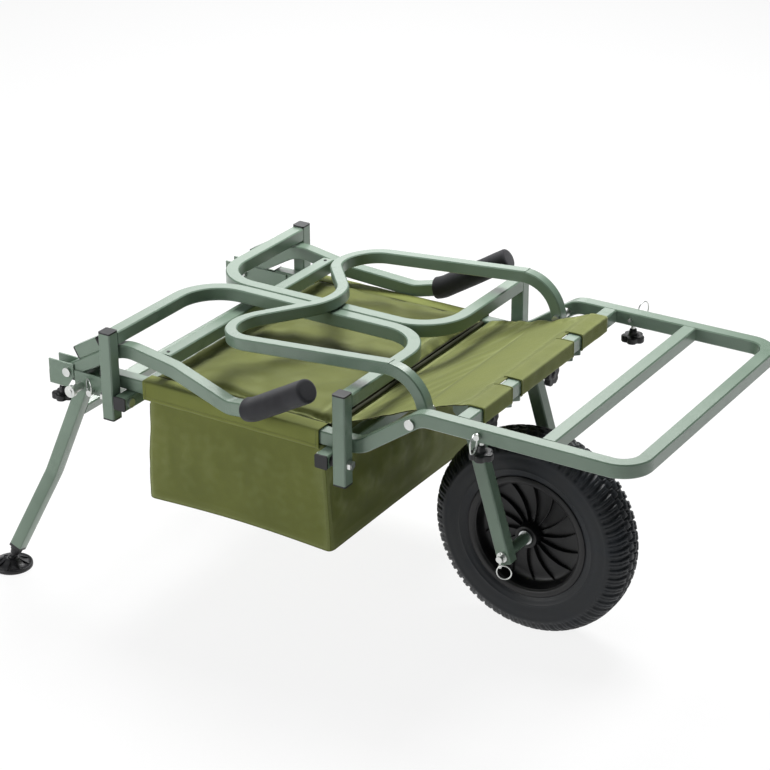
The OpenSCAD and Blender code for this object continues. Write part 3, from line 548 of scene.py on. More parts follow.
def tapeTree():
    tree, start, even, real = pathTree("tapeAlongEdge", ("spacing", "radius"), darkTape)
    add, link = tree.nodes.new, tree.links.new
    ring = add("GeometryNodeCurvePrimitiveCircle")
    ring.inputs["Resolution"].default_value = tape["sides"]
    tube = add("GeometryNodeCurveToMesh")
    tube.inputs["Fill Caps"].default_value = True
    link(start.outputs["radius"], ring.inputs["Radius"])
    link(even.outputs[0], tube.inputs["Curve"])
    link(ring.outputs[0], tube.inputs["Profile Curve"])
    link(tube.outputs[0], real.inputs[0])
    return tree


stitching = stitchTree()
taping = tapeTree()


def alongPaths(name, tree, paths, sizes):  # sizes in mm
    data = bpy.data.curves.new(name, "CURVE")
    data.dimensions = "3D"
    for path in paths:
        line = data.splines.new("POLY")
        line.points.add(len(path) - 1)
        for point, at in zip(line.points, path):
            point.co = (*at, 1)
    row = bpy.data.objects.new(name, data)
    bpy.context.scene.collection.objects.link(row)
    maker = row.modifiers.new(name, "NODES")
    maker.node_group = tree
    for item in tree.interface.items_tree:
        if item.name in sizes and item.in_out == "INPUT":
            maker[item.identifier] = sizes[item.name] / 1000
    made = bakeModifiers(row)
    made.name = name
    made.data.name = name
    made.data.polygons.foreach_set("use_smooth", [True] * len(made.data.polygons))
    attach(made, "frame")
    return made


def stitchRow(name, paths):
    sizes = {"spacing": thread["spacing"], "length": thread["length"], "thread": thread["radius"]}
    return alongPaths(name, stitching, paths, sizes)


def tapeRow(name, paths, radius, look=None):
    row = alongPaths(name, taping, paths, {"spacing": tape["spacing"], "radius": radius})
    if look:
        row.data.materials[0] = look.material
    return row


# the bag

bagSizes = {
    "rear": 68.0, "front": 435.0, "half": 286.6, "top": 409.0, "low": 213.0,
    "collar": 22.0, "collarFrom": (249, 256), "corner": 11.0, "taper": 8.0, "swell": 14.0,
    "hemEdge": 7.0, "wall": 1.4,
    # one value for each side: right, front, left, rear
    "bulge": (3.5, 6.0, 3.5, 1.0), "lift": (6.0, 2.0, 6.0, 2.0), "creased": (0.85, 1.9, 0.85, 1.2),
    "sideSteps": 64, "endSteps": 96, "cornerSteps": 6, "levels": 44, "edgeSteps": 4, "baseRings": 14,
    "creases": {  # closeness, seed and height of each kind
        "long": (0.011, 3.0, 3.0), "fall": (0.028, 7.0, 1.5), "small": (0.07, 1.0, 0.5),
        "slanted": (0.017, 21.0, 3.2), "base": (0.012, 5.0, 2.5),
    },
}


def bagLoop(t):
    # one level of the shell, t from 0 at the top to 1 at the bottom seam:
    # each point with its side, its place along that side and the way out
    b = bagSizes
    radius = b["corner"]
    x0, x1 = b["rear"] - b["taper"] * t, b["front"] + b["swell"] * t ** 0.7
    ends = ((x0, -b["half"]), (x1, -b["half"]), (x1, b["half"]), (x0, b["half"]))
    points = []
    for k in range(4):
        a, c = Vector(ends[k]), Vector(ends[(k + 1) % 4])
        way = (c - a).normalized()
        out = Vector((way.y, -way.x))
        length = (c - a).length
        count = b["endSteps"] if k % 2 else b["sideSteps"]
        for i in range(count):
            s = i / count
            p = a + way * (radius + s * (length - 2 * radius))
            sag = math.sin(math.pi * s) ** 0.6 * math.sin(math.pi * t)
            points.append((p + out * b["bulge"][k] * sag, k, s, out))
        centre = c - way * radius - out * radius
        for i in range(b["cornerSteps"]):
            away = Matrix.Rotation(math.pi / 2 * i / b["cornerSteps"], 2) @ out
            points.append((centre + away * radius, k, 1.0, away))
    return points


def bagHeight(k, s, t, y):
    b = bagSizes
    top = b["top"] + (b["collar"] * (1 - smoothstep(*b["collarFrom"], abs(y))) if k in (1, 3) else 0.0)
    low = b["low"] + b["lift"][k] * math.sin(math.pi * s)
    return top + (low - top) * t


def creaseOf(x, y, z, k, t):
    # soft folds: long ones that fall from the top corners and small ones near the seams
    kinds = bagSizes["creases"]
    long = ripple(x * 0.6, y * 0.6, z * 1.7, kinds["long"])
    fall = ripple(x, y, z * 0.35, kinds["fall"]) * (0.4 + 0.6 * math.sin(math.pi * t))
    small = ripple(x, y, z, kinds["small"])
    slanted = ripple(0, y + 1.3 * z, z * 0.3, kinds["slanted"]) if k == 1 else 0.0
    fade = math.sin(math.pi * min(1.0, t * 1.08)) ** 0.5
    return ((long + fall + small) * bagSizes["creased"][k] + slanted) * fade


def makeBag():
    b = bagSizes
    rows, uvs = [], []
    levels = b["levels"]
    for i in range(levels + 1):
        t = i / levels
        row, cut = [], []
        run = 0.0
        last = None
        for p, k, s, out in bagLoop(t):
            z = bagHeight(k, s, t, p.y)
            q = p + out * creaseOf(p.x, p.y, z, k, t)
            if last is not None:
                run += (p - last).length
            last = p
            row.append(place(q.x, q.y, z))
            cut.append((run / 1000, z / 1000))
        rows.append(row)
        uvs.append(cut)
    for step in range(1, b["edgeSteps"] + 1):  # the rounded bottom edge
        angle = math.pi / 2 * step / b["edgeSteps"]
        inward = b["hemEdge"] * (1 - math.cos(angle))
        drop = b["hemEdge"] * math.sin(angle)
        row, cut = [], []
        for (p, k, s, out), above in zip(bagLoop(1.0), rows[levels]):
            base = above * 1000
            row.append(Vector((base.x - out.x * inward, base.y - out.y * inward, base.z - drop)) / 1000)
            cut.append((uvs[levels][len(cut)][0], (base.z - drop - inward) / 1000))
        rows.append(row)
        uvs.append(cut)
    centre = place((b["rear"] + b["front"]) / 2, 0, b["low"] - 9)
    edge = rows[-1]
    for ring in range(1, b["baseRings"] + 1):  # the base, in rings that close in on its middle
        g = ring / b["baseRings"]
        row = [p.lerp(centre, g) for p in edge]
        for q in row:
            q.z += ripple(q.x * 1000, q.y * 1000, 0, b["creases"]["base"]) * (1 - abs(2 * g - 1)) / 1000
        rows.append(row)
        uvs.append([(q.x, q.y + 2.0) for q in row])
    shell = gridPiece("bagShell", rows, closed=True, uvs=uvs, flip=True)
    welded(shell, 0.0002)
    markFolds(shell)
    addWall(shell, b["wall"], -1)
    wide = len(rows[0])
    corners, at = [], 0
    for count in (b["sideSteps"], b["endSteps"], b["sideSteps"], b["endSteps"]):
        corners.append(at + count + b["cornerSteps"] // 2)
        at += count + b["cornerSteps"]
    seams = [[rows[i][k] for i in range(3, levels + 2)] for k in corners]
    seams.append([rows[levels + 1][k % wide] for k in range(wide + 1)])
    return shell, seams


def markFolds(piece):
    # how far each point stands out from its neighbours: ridges fade, and hollows get painted shade
    mesh = piece.data
    count = len(mesh.vertices)
    points = readPoints(mesh)
    edges = np.zeros(len(mesh.edges) * 2, int)
    mesh.edges.foreach_get("vertices", edges)
    edges = edges.reshape(-1, 2)
    smooth = points.copy()
    for _ in range(12):
        total = np.zeros_like(smooth)
        number = np.zeros(count)
        for one, other in ((0, 1), (1, 0)):
            np.add.at(total, edges[:, one], smooth[edges[:, other]])
            np.add.at(number, edges[:, one], 1)
        smooth = 0.5 * smooth + 0.5 * total / np.maximum(number, 1)[:, None]
    out = ((points - smooth) * readPoints(mesh, "normal")).sum(1)
    value = np.clip(0.5 + out / 0.0011 * 0.5, 0, 1)
    layer = mesh.attributes.new("fold", "FLOAT", "POINT")
    layer.data.foreach_set("value", value.astype(np.float32))


def roundedPath(corners, radius):  # an open path with its corners rounded
    path = [Vector(corner) for corner in corners]
    out = [path[0]]
    for a, c, b in zip(path, path[1:], path[2:]):
        into, away = (a - c).normalized(), (b - c).normalized()
        out += [c + into * radius * (1 - g) ** 2 + away * radius * g ** 2 for g in (0, 0.25, 0.5, 0.75, 1)]
    return out + [path[-1]]


def subdivided(path, step):
    out = [path[0]]
    for a, b in zip(path, path[1:]):
        n = max(1, int((b - a).length / step))
        out += [a.lerp(b, (i + 1) / n) for i in range(n)]
    return out


def wrappedCloth(name, section, middle, spots, slackAt, pointAt, uvAt, flip=False):
    # canvas round a bar: the section at each spot along the bar, with its own slack
    rows, uvs = [], []
    for spot in spots:
        row, cut = [], []
        run = 0.0
        for j, p in enumerate(section):
            outward = (p - middle).normalized()
            run += (p - section[max(0, j - 1)]).length
            row.append(pointAt(spot, p + outward * slackAt(spot, j, p)))
            cut.append(uvAt(spot, run))
        rows.append(row)
        uvs.append(cut)
    piece = gridPiece(name, rows, uvs=uvs, flip=flip)
    markFolds(piece)
    return piece


sleeve = {
    "rear": 59.0, "front": 428.0, "rail": (272.5, 422.5), "half": 14.9, "hemLow": 402.5, "corner": 3.2,
    "step": 3.0, "rows": 150, "wall": 1.1,
    "seamOut": 288.9, "seamHeight": 408.6, "endHeights": (404, 415, 425, 435),
}


def makeSleeve(name):
    # canvas wrapped round the left rail, with its hem below the rail
    w, r = sleeve, sleeve["half"]
    y, z = w["rail"]
    section = subdivided(roundedPath([
        (y + r - 0.2, w["hemLow"]), (y + r, z + r), (y - r, z + r), (y - r, z - r), (y + r - 2.2, z - r),
    ], w["corner"]), w["step"])

    def slackAt(x, j, p):
        hem = 0.9 * wave(x, 0, 0, 0.02, 9.0) if j < 3 else 0.0
        return max(-0.15, 0.35 + 0.65 * wave(x, p.x, p.y, 0.035, 2.0) + hem)

    spots = [w["rear"] + (w["front"] - w["rear"]) * i / w["rows"] for i in range(w["rows"] + 1)]
    piece = wrappedCloth(
        name, section, Vector((y, z)), spots, slackAt,
        lambda x, q: place(x, q.x, q.y), lambda x, run: (x / 1000, run / 1000), flip=True,
    )
    addWall(piece, w["wall"], 0)
    return piece


def sleeveStitches(side):
    w = sleeve
    y = side * w["seamOut"]
    along = np.linspace(w["rear"] + 3, w["front"] - 3, 60)
    low = [place(x, y, w["seamHeight"] + 0.3 * wave(x, 0, 0, 0.02, 4)) for x in along]
    ends = [[place(x, y, z) for z in w["endHeights"]] for x in (w["rear"] + 6, w["front"] - 6)]
    return [low] + ends


slackCloth = {
    "quality": 5, "mass": 0.15, "tension_stiffness": 25, "compression_stiffness": 25, "shear_stiffness": 8,
    "bending_stiffness": 0.6, "vertex_group_mass": "pinned",
}
slackFrames = 16


def settle(piece, pins, grow, weight, cap):
    # lets slack cloth buckle between its pinned points, then keeps the result
    group = piece.vertex_groups.new(name="pinned")
    for index, hold in pins.items():
        group.add([index], hold, "REPLACE")
    before = readPoints(piece.data)
    cloth = piece.modifiers.new("slack", "CLOTH")
    for key, value in slackCloth.items():
        setattr(cloth.settings, key, value)
    cloth.settings.shrink_min = -grow
    cloth.settings.effector_weights.gravity = weight
    cloth.collision_settings.use_collision = False
    cloth.point_cache.frame_end = slackFrames + 1
    for step in range(1, slackFrames + 1):
        bpy.context.scene.frame_set(step)
    shown = piece.evaluated_get(bpy.context.evaluated_depsgraph_get())
    move = readPoints(shown.data) - before
    piece.modifiers.remove(cloth)
    bpy.context.scene.frame_set(1)
    size = np.linalg.norm(move, axis=1)
    print("  settled", piece.name, "moved up to mm", round(float(size.max()) * 1000, 2))
    limit = np.minimum(1, cap / 1000 / np.maximum(size, 1e-9))
    piece.data.vertices.foreach_set("co", (before + move * limit[:, None]).ravel())
    piece.data.update()


lid = {
    "rear": 70.0, "front": 430.0, "half": 256.6, "edge": 436.0, "crown": 8.0,
    "alongRows": 92, "acrossRows": 128,
    "dip": 13.0, "dipAt": 249, "rearDip": 13.0, "wall": 1.4,
    "flap": 5.5, "flapAt": 419, "valley": 4.0, "valleyAt": 401,
    "slack": (0.02, -0.35, 8.0),  # how much the cloth grows, its weight, and the most it moves
    "creases": {"long": (0.017, 11.0, 6.5), "short": (0.03, 6.0, 2.6), "slanted": (0.013, 31.0, 3.5)},
}


def bell(x, middle, width):  # 1 at the middle, and close to 0 two widths away
    return math.exp(-((x - middle) / width) ** 2)


def lidHeight(x, y):
    # slack cloth: it dips beside the sleeves and at the rear, and its front hem stands up
    fx = (x - lid["rear"]) / (lid["front"] - lid["rear"])
    fy = abs(y) / lid["half"]
    dip = -lid["dip"] * bell(abs(y), lid["dipAt"], 5.5) * smoothstep(0.02, 0.1, fx)
    rear = -lid["rearDip"] * bell(fx, 0.06, 0.07) * (1 - fy ** 4)
    dome = lid["crown"] * (1 - fy ** 3) * smoothstep(0.1, 0.45, fx) * (1 - 0.5 * smoothstep(0.75, 1, fx))
    flap = lid["flap"] * bell(x, lid["flapAt"], 9) - lid["valley"] * bell(x, lid["valleyAt"], 6)
    long = ripple(x + 0.5 * y, y * 0.25, 0, lid["creases"]["long"])
    short = ripple(x * 0.5 - y * 0.3, y, 0, lid["creases"]["short"])
    long -= abs(ripple(x * 0.8 - 0.6 * y, 0.3 * y, 0, lid["creases"]["slanted"]))
    edge = (1 - fy ** 40) * smoothstep(0, 0.05, fx) * (1 - smoothstep(0.97, 1.0, fx) * 0.7)
    return lid["edge"] + (dome + dip + rear + long + short) * edge + flap * (1 - fy ** 6)


def makeLid():
    rows, uvs = [], []
    for i in range(lid["alongRows"] + 1):
        x = lid["rear"] + (lid["front"] - lid["rear"]) * i / lid["alongRows"]
        rows.append([])
        uvs.append([])
        for j in range(lid["acrossRows"] + 1):
            y = lid["half"] * (2 * j / lid["acrossRows"] - 1)
            rows[-1].append(place(x, y, lidHeight(x, y)))
            uvs[-1].append((x / 1000, y / 1000))
    piece = gridPiece("bagLid", rows, uvs=uvs)
    wide = lid["acrossRows"] + 1
    pins = {}
    for i in range(lid["alongRows"] + 1):
        for j in (0, wide - 1):
            pins[i * wide + j] = 1.0
        if i in (0, lid["alongRows"]):
            pins.update({i * wide + j: 1.0 for j in range(wide)})
    settle(piece, pins, *lid["slack"])
    return piece, wide


def surfaceLine(piece, indexes, lift):  # a line that lies lift mm above the cloth
    points = [piece.data.vertices[k] for k in indexes]
    return [point.co + point.normal * lift / 1000 for point in points]


def acrossLine(piece, wide, row, ends, lift):  # along one row, short of both edges by ends
    return surfaceLine(piece, range(row * wide + ends, (row + 1) * wide - ends), lift)


def edgeLines(piece, wide, rows, lift):  # along the two side edges
    return [surfaceLine(piece, [i * wide + j for i in rows], lift) for j in (0, wide - 1)]


apron = {
    "start": 441.0, "startHeight": 437.0, "end": 673.0, "endHeight": 516.8, "rows": 64, "columns": 120,
    "bar": 691.0, "barHeight": 504.5, "half": 220.0,
    "wide": 252, "narrow": 210.5, "narrowFrom": (436, 592), "flare": 8.3, "flareFrom": (618, 668),
    "notch": (92.5, 124.5), "tongue": (6.8, 1.7), "sag": 2.5, "lip": 7.0, "wall": 1.3,
    "pull": (0.026, 13.0, 6.0), "fan": (0.055, 17.0, 2.6),
    "brackets": (570, 660), "clear": 2.6, "slack": (0.012, 0.1, 4.0),
}


def apronHalf(x):
    a = apron
    if x < a["narrowFrom"][1]:
        return a["wide"] - (a["wide"] - a["narrow"]) * smoothstep(*a["narrowFrom"], x)
    return a["narrow"] + a["flare"] * smoothstep(*a["flareFrom"], x)


def apronLine(x):
    a = apron
    return a["startHeight"] + (a["endHeight"] - a["startHeight"]) * (x - a["start"]) / (a["end"] - a["start"])


def apronHeight(x, y):
    a = apron
    g = (x - a["start"]) / (a["end"] - a["start"])
    swing = math.sin(math.pi * min(1, g * 0.93 + 0.05))
    sag = -a["sag"] * math.sin(math.pi * g) * (1 - (y / 260) ** 2)
    pull = ripple(x - 0.30 * y, y * 0.10, 0, a["pull"]) * swing
    fan = ripple(x - 0.45 * y, y * 0.22, 0, a["fan"]) * swing
    return apronLine(x) + sag + pull + fan - a["lip"] * bell(g, 0, 0.035)


def makeApron():
    a = apron
    n0, n1 = a["notch"]
    out, up = a["tongue"]
    rows, uvs = [], []
    for i in range(a["rows"] + 1):
        x = a["start"] + (a["end"] - a["start"]) * i / a["rows"]
        rows.append([])
        uvs.append([])
        for j in range(a["columns"] + 1):
            y = apronHalf(x) * (2 * j / a["columns"] - 1)
            reach = smoothstep(0.92, 1, i / a["rows"]) if n0 - 1 < abs(y) < n1 + 1 else 0
            rows[-1].append(place(x + out * reach, y, apronHeight(x, y) + up * reach))
            uvs[-1].append((x / 1000 * 1.06, y / 1000))
    piece = gridPiece("frontApron", rows, uvs=uvs)
    wide = a["columns"] + 1
    pins = {j: 1.0 for j in range(wide)}
    for i in range(a["rows"] - 2, a["rows"] + 1):
        pins.update({i * wide + j: 1.0 for j in range(wide)})
    for i in range(a["rows"] + 1):
        for j in (0, wide - 1):
            pins[i * wide + j] = 0.95
    settle(piece, pins, *a["slack"])
    for vertex in piece.data.vertices:  # the cloth stays above the brackets under it
        x = vertex.co.x * 1000 + middleX
        if a["brackets"][0] < x < a["brackets"][1]:
            vertex.co.z = max(vertex.co.z, (apronLine(x) - a["clear"]) / 1000)
    return piece, wide


hem = {
    "half": 14.3, "corner": 3.0, "step": 3.0, "pitch": 4, "notchWide": 2.6, "notchOut": 0.9, "notchWall": 0.7,
    "groove": (435.6, 434.4, 250),
}


def hemLoop(name, y0, y1, grow=0.0):
    # canvas loop round the wheel bar from y0 to y1, with its lead from the apron
    a = apron
    x, z = a["bar"], a["barHeight"]
    r = hem["half"] + grow
    section = subdivided(roundedPath([
        (a["end"] - 1.0, a["endHeight"] + grow), (x - r, z + r - 0.4), (x + r, z + r), (x + r, z - r),
        (x - r, z - r), (x - r, z + r - 3.5),
    ], hem["corner"]), hem["step"])
    count = max(2, int(abs(y1 - y0) / hem["pitch"]))
    return wrappedCloth(
        name, section, Vector((x, z)), [y0 + (y1 - y0) * i / count for i in range(count + 1)],
        lambda y, j, p: max(-0.1, 0.3 + 0.5 * wave(p.x, y, p.y, 0.04, 2.0)),
        lambda y, q: place(q.x, y, q.y), lambda y, run: (run / 1000 + 1, y / 1000),
    )


bag, bagSeams = makeBag()
leftSleeve = makeSleeve("leftSleeve")
rightSleeve = mirrored(leftSleeve, "rightSleeve")
for piece, look in ((bag, oliveCanvas), (leftSleeve, sleeveCanvas), (rightSleeve, sleeveCanvas)):
    dress(piece, look, "frame")
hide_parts("bag")
print("stage: bag shell and sleeves made")

lidPiece, lidWide = makeLid()
markFolds(lidPiece)
front = lid["alongRows"]
lidEdge = acrossLine(lidPiece, lidWide, front, 0, 0.2)
lidSeam = acrossLine(lidPiece, lidWide, front - 7, 3, 0.3)
lidSides = edgeLines(lidPiece, lidWide, range(front + 1), 0.2)
lidRow = acrossLine(lidPiece, lidWide, front - 3, 3, 1.0)
addWall(lidPiece, lid["wall"], 0)
dress(lidPiece, lidCanvas, "frame")
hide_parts("bag_lid")

apronPiece, apronWide = makeApron()
markFolds(apronPiece)
last = apron["rows"]
apronRows = [acrossLine(apronPiece, apronWide, last - k, 2, 1.0) for k in (1, 3)]
apronSides = edgeLines(apronPiece, apronWide, range(3, last + 1), 0.0)
n0, n1 = apron["notch"]
loops = [hemLoop("hemLoop", y0, y1) for y0, y1 in ((n1, apron["half"]), (-n0, n0), (-apron["half"], -n1))]
apronPiece = joinPieces("frontApron", [apronPiece] + loops)
addWall(apronPiece, apron["wall"], 0)
dress(apronPiece, apronCanvas, "frame")
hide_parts("front_apron")

edges = []
for side in (1, -1):  # a second layer of hem at both ends of both notches, in a darker olive that is painted shade at the notch edges
    for y, beyond in ((n0, n0 - hem["notchWide"]), (n1, n1 + hem["notchWide"])):
        edges.append(hemLoop("notchHem", *sorted((side * y, side * beyond)), hem["notchOut"]))
notchHem = joinPieces("notchHem", edges)
addWall(notchHem, hem["notchWall"], 0)
dress(notchHem, oliveCanvas, "frame")

bagPiping = tapeRow("bagPiping", bagSeams, tape["bag"], sleeveCanvas)
sleeveThread = stitchRow("sleeveStitches", sleeveStitches(1) + sleeveStitches(-1))
lidThread = stitchRow("lidStitches", [lidRow])
apronThread = stitchRow("apronStitches", apronRows)
lidTapes = [
    tapeRow("lidBinding", [lidEdge], tape["lidBinding"]),
    tapeRow("lidSeam", [lidSeam], tape["lidSeam"]),
    # dark tape along the lid's side edges: piping, and painted shadow in the gap beside the sleeves
    tapeRow("lidPiping", lidSides, tape["lidPiping"]),
]
apronTape = tapeRow("apronBinding", apronSides, tape["apron"])
# dark tape in the groove between the lid and the apron: painted shadow
x, z, reach = hem["groove"]
groove = [place(x, y, z + 0.8 * wave(y, 0, 0, 0.02, 3.0)) for y in np.linspace(-reach, reach, 80)]
grooveTape = tapeRow("grooveTape", [groove], tape["groove"])

lidTapes + [lidThread, grooveTape]
print("stage: lid, apron and stitching made")


# foam grips

grip = {
    "turnAt": (122.0, 272.5, 468.5), "fall": 9.5, "flare": 12.0, "bend": 70.0, "radius": 21.0,
    "before": 15.0, "path": ((142.0, 0.0), (194.0, 19.0), (309.0, 115.0)), "beyond": 3.4, "edge": 6.0,
    "bendSteps": 12, "armSteps": 40, "edgeSteps": 6, "rings": 60, "around": 40, "uneven": 0.5,
}


def gripPath():
    # the middle line of the foam, over the bent tube of the handle
    a, k, e = (Vector(p) for p in grip["path"])
    into, away = (k - a).normalized(), (e - k).normalized()
    turn = into.angle(away)
    back = grip["bend"] * math.tan(turn / 2)
    normal = Vector((-into.y, into.x))
    points = [k - into * (grip["before"] - (grip["before"] - back) * i / 3) for i in range(3)]
    centre = k - into * back + normal * grip["bend"]
    for i in range(grip["bendSteps"] + 1):
        g = turn * i / grip["bendSteps"]
        points.append(centre + (-normal * math.cos(g) + into * math.sin(g)) * grip["bend"])
    end = e + away * grip["beyond"]
    start = points[-1]
    points += [start.lerp(end, i / grip["armSteps"]) for i in range(1, grip["armSteps"] + 1)]
    return points


def makeGrip(name):
    points = gripPath()
    lengths = [0.0]
    for a, b in zip(points, points[1:]):
        lengths.append(lengths[-1] + (b - a).length)
    total = lengths[-1]
    edge = grip["edge"]
    steps = grip["edgeSteps"]
    rim = [edge * (1 - math.cos(math.pi / 2 * i / steps)) for i in range(steps + 1)]
    middle = list(np.linspace(edge + 3, total - edge - 3, grip["rings"]))
    samples = rim + middle + [total - s for s in rim[::-1]]
    handle = Matrix.Translation(Vector(grip["turnAt"])) @ Matrix.Rotation(math.radians(grip["fall"]), 4, "Y")
    handle = handle @ Matrix.Rotation(math.radians(grip["flare"]), 4, "Z")
    rows = []
    for s in samples:
        i = min(len(lengths) - 2, max(0, int(np.searchsorted(lengths, s)) - 1))
        g = (s - lengths[i]) / max(1e-6, lengths[i + 1] - lengths[i])
        p = points[i].lerp(points[i + 1], g)
        way = (points[i + 1] - points[i]).normalized()
        up = Vector((-way.y, way.x))
        d = min(s, total - s)
        radius = grip["radius"] + grip["uneven"] * wave(s, 0, 0, 0.03, 5.0)
        if d < edge:
            radius -= edge - math.sqrt(max(0.0, edge ** 2 - (edge - d) ** 2))
        row = []
        for angle in turns(grip["around"]):
            q = p + up * radius * math.cos(angle)
            row.append(place(*(handle @ Vector((q.x, radius * math.sin(angle), q.y)))))
        rows.append(row)
    return gridPiece(name, rows, closed=True, closeEnds=True)


leftGrip = makeGrip("leftGrip")
rightGrip = mirrored(leftGrip, "rightGrip")
for piece in (leftGrip, rightGrip):
    dress(piece, gripFoam, "handle")
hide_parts("grips")
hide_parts("grips")
print("stage: grips made")


# tyre

tyre = {
    "hub": (691.0, 0.0, 192.0), "lugs": 60, "around": 960, "depth": 4.6, "groove": 0.34, "treadFrom": 158,
    "outside": (  # radius and half width, from the bead to the middle of the tread
        (102, 35.2), (103, 33.0), (110, 35.6), (117.5, 37.2), (121, 39.6), (128, 41.6), (131, 43.2),
        (134, 42.6), (146, 44.0), (156, 43.8), (160, 44.4), (166, 42.6), (172, 40.2), (178, 36.6),
        (183, 32.0), (187, 26.0), (189.6, 20.0), (191.4, 13.0), (192.0, 6.0), (192.0, 0.0),
    ),
    "inside": ((181, 10), (170, 26), (140, 33), (116, 27), (104, 30)),
}


def tyreProfile():
    # the outside of one half as a smooth run of points from the bead to the middle
    half = [Vector(p) for p in tyre["outside"]]
    fine = []
    for i in range(len(half) - 1):
        p0, p1, p2, p3 = half[max(0, i - 1)], half[i], half[i + 1], half[min(len(half) - 1, i + 2)]
        steps = max(2, int((p2 - p1).length / 2.0)) if p1.x > 160 else 2
        for k in range(steps):
            g = k / steps
            fine.append(0.5 * ((2 * p1) + (p2 - p0) * g + (2 * p0 - 5 * p1 + 4 * p2 - p3) * g * g
                               + (3 * p1 - p0 - 3 * p2 + p3) * g ** 3))
    fine.append(half[-1])
    return fine


def grooveDepth(theta, r, y):
    # how deep the tread is cut at a point, in mm
    pitch = 2 * math.pi / tyre["lugs"]
    shift = 0.5 if y > 0 else 0.0
    side = abs(y)
    slant = 0.012 * (side - 14) / 14
    phase = ((theta + slant) / pitch + shift) % 1.0
    shoulder = smoothstep(13.5, 15.0, side) * (1 - smoothstep(41.0, 43.2, side)) * smoothstep(160, 166, r)
    half = tyre["groove"] / 2
    edge = abs(phase - 0.5)
    cut = 1 - smoothstep(half - 0.05, half + 0.03, edge)
    sipe = (1 - smoothstep(0.03, 0.06, abs(((phase + 0.5) % 1.0) - 0.5))) * 0.5 * smoothstep(20, 22, side)
    zig = 2.4 * (abs(((theta / pitch) % 1.0) * 2 - 1) * 2 - 1)
    middle = 1 - smoothstep(1.3, 2.4, abs(y - zig))
    ring = 1 - smoothstep(1.2, 2.3, abs(side - 13.2 - 0.4 * zig))
    across = 0.0
    if side < 12:
        cross = (theta / pitch + (0.25 if y > 0 else 0.75)) % 1.0
        across = (1 - smoothstep(0.05, 0.1, abs(cross - 0.5))) * 0.8
    return tyre["depth"] * min(1.0, max(shoulder * max(cut, sipe), middle, ring * 0.9, across))


def makeTyre():
    half = tyreProfile()
    outer = half + [Vector((p.x, -p.y)) for p in half[-2::-1]]
    inner = [Vector((r, -y)) for r, y in tyre["inside"][::-1]] + [Vector(p) for p in tyre["inside"]]
    hub = Vector(tyre["hub"])
    normals = []
    for i in range(len(outer)):
        way = (outer[min(len(outer) - 1, i + 1)] - outer[max(0, i - 1)]).normalized()
        normals.append(Vector((way.y, -way.x)))
    rows = []
    for theta in turns(tyre["around"]):
        c, s = math.cos(theta), math.sin(theta)
        row = []
        for p, n in zip(outer, normals):
            cut = grooveDepth(theta, p.x, p.y) if p.x > tyre["treadFrom"] else 0.0
            r = p.x - abs(n.x) * cut
            y = p.y - math.copysign(abs(n.y) * cut * 0.5, p.y)
            row.append(place(hub.x + r * c, hub.y + y, hub.z + r * s))
        row += [place(hub.x + p.x * c, hub.y + p.y, hub.z + p.x * s) for p in inner]
        rows.append(row)
    return welded(gridPiece("tyreTread", rows + rows[:1], closed=True), 0.00002)


tyrePiece = makeTyre()
dress(tyrePiece, tyreRubber, "wheel")
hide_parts("tyre")
print("stage: tyre made")


# moulded wheel

wheel = {
    "ribs": 14, "ribSweep": 17.0, "ribThick": 2.1, "hubRadius": 21.0, "ribEnd": 99.0, "ribHigh": 21.0,
    "ribLow": 13.0, "ribFoot": 7, "ribSteps": 14, "around": 192,
    "face": (  # radius and half width, from the bore over the disc to the rim
        (13.3, 38.4), (18.6, 38.6), (20.2, 38.2), (21.0, 37.0), (21.4, 30.0), (22.6, 17.0), (24.4, 13.6),
        (28.0, 11.6), (36.0, 10.6), (60.0, 9.4), (84.0, 8.4), (91.0, 9.0), (95.6, 11.0), (98.0, 15.0),
        (99.6, 22.0), (100.8, 29.0), (102.4, 34.6), (104.4, 38.0), (107.0, 39.2), (112.0, 39.2),
        (115.2, 38.4), (116.6, 37.2), (116.0, 36.9), (101.6, 35.6), (101.3, 33.5), (99.9, 30.0),
    ),
}


def makeRib(i, side):
    w = wheel
    hub = Vector(tyre["hub"])
    rows = []
    for k in range(w["ribSteps"] + 1):
        g = k / w["ribSteps"]
        r = w["hubRadius"] + (w["ribEnd"] - w["hubRadius"]) * g
        theta = math.radians(360 * i / w["ribs"] + w["ribSweep"] * g ** 1.6)
        high = w["ribHigh"] + (w["ribLow"] - w["ribHigh"]) * g
        out = Vector((math.cos(theta), 0, math.sin(theta)))
        across = Vector((-math.sin(theta), 0, math.cos(theta)))
        section = [(0.2, high), (0.42, high - 0.8), (0.5, w["ribFoot"])]
        row = []
        for wide, y in [(-wide, y) for wide, y in section[::-1]] + section:
            q = hub + out * r + across * wide * w["ribThick"]
            row.append(place(q.x, side * y, q.z))
        rows.append(row)
    return gridPiece("wheelRib", rows, closed=True, closeEnds=True, flip=side > 0)


def makeWheel():
    hub = Vector(tyre["hub"])
    face = [Vector(p) for p in wheel["face"]]
    loop = face + [Vector((p.x, -p.y)) for p in face[::-1]]
    rows = []
    for theta in turns(wheel["around"]):
        c, s = math.cos(theta), math.sin(theta)
        rows.append([place(hub.x + p.x * c, hub.y + p.y, hub.z + p.x * s) for p in loop])
    body = welded(gridPiece("wheelBody", rows + rows[:1], closed=True), 0.00002)
    ribs = [makeRib(i, side) for side in (-1, 1) for i in range(wheel["ribs"])]
    return joinPieces("wheelMoulding", [body] + ribs)


moulding = dress(makeWheel(), wheelPlastic, "wheel")
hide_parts("wheel_disc", "wheel_flanges", "hub_ends")
print("stage: wheel made")


# clamp knobs and their threaded stems

knob = {
    "radius": 21.0, "lobes": 5, "lobeDepth": 0.21, "neck": 8.4, "neckEnd": -8.0, "base": 4.0, "height": 16.0,
    "edge": 2.6, "around": 90,
}
stem = {"radius": 3.95, "pitch": 1.5, "around": 20}
sides = ((-1, "right"), (1, "left"))


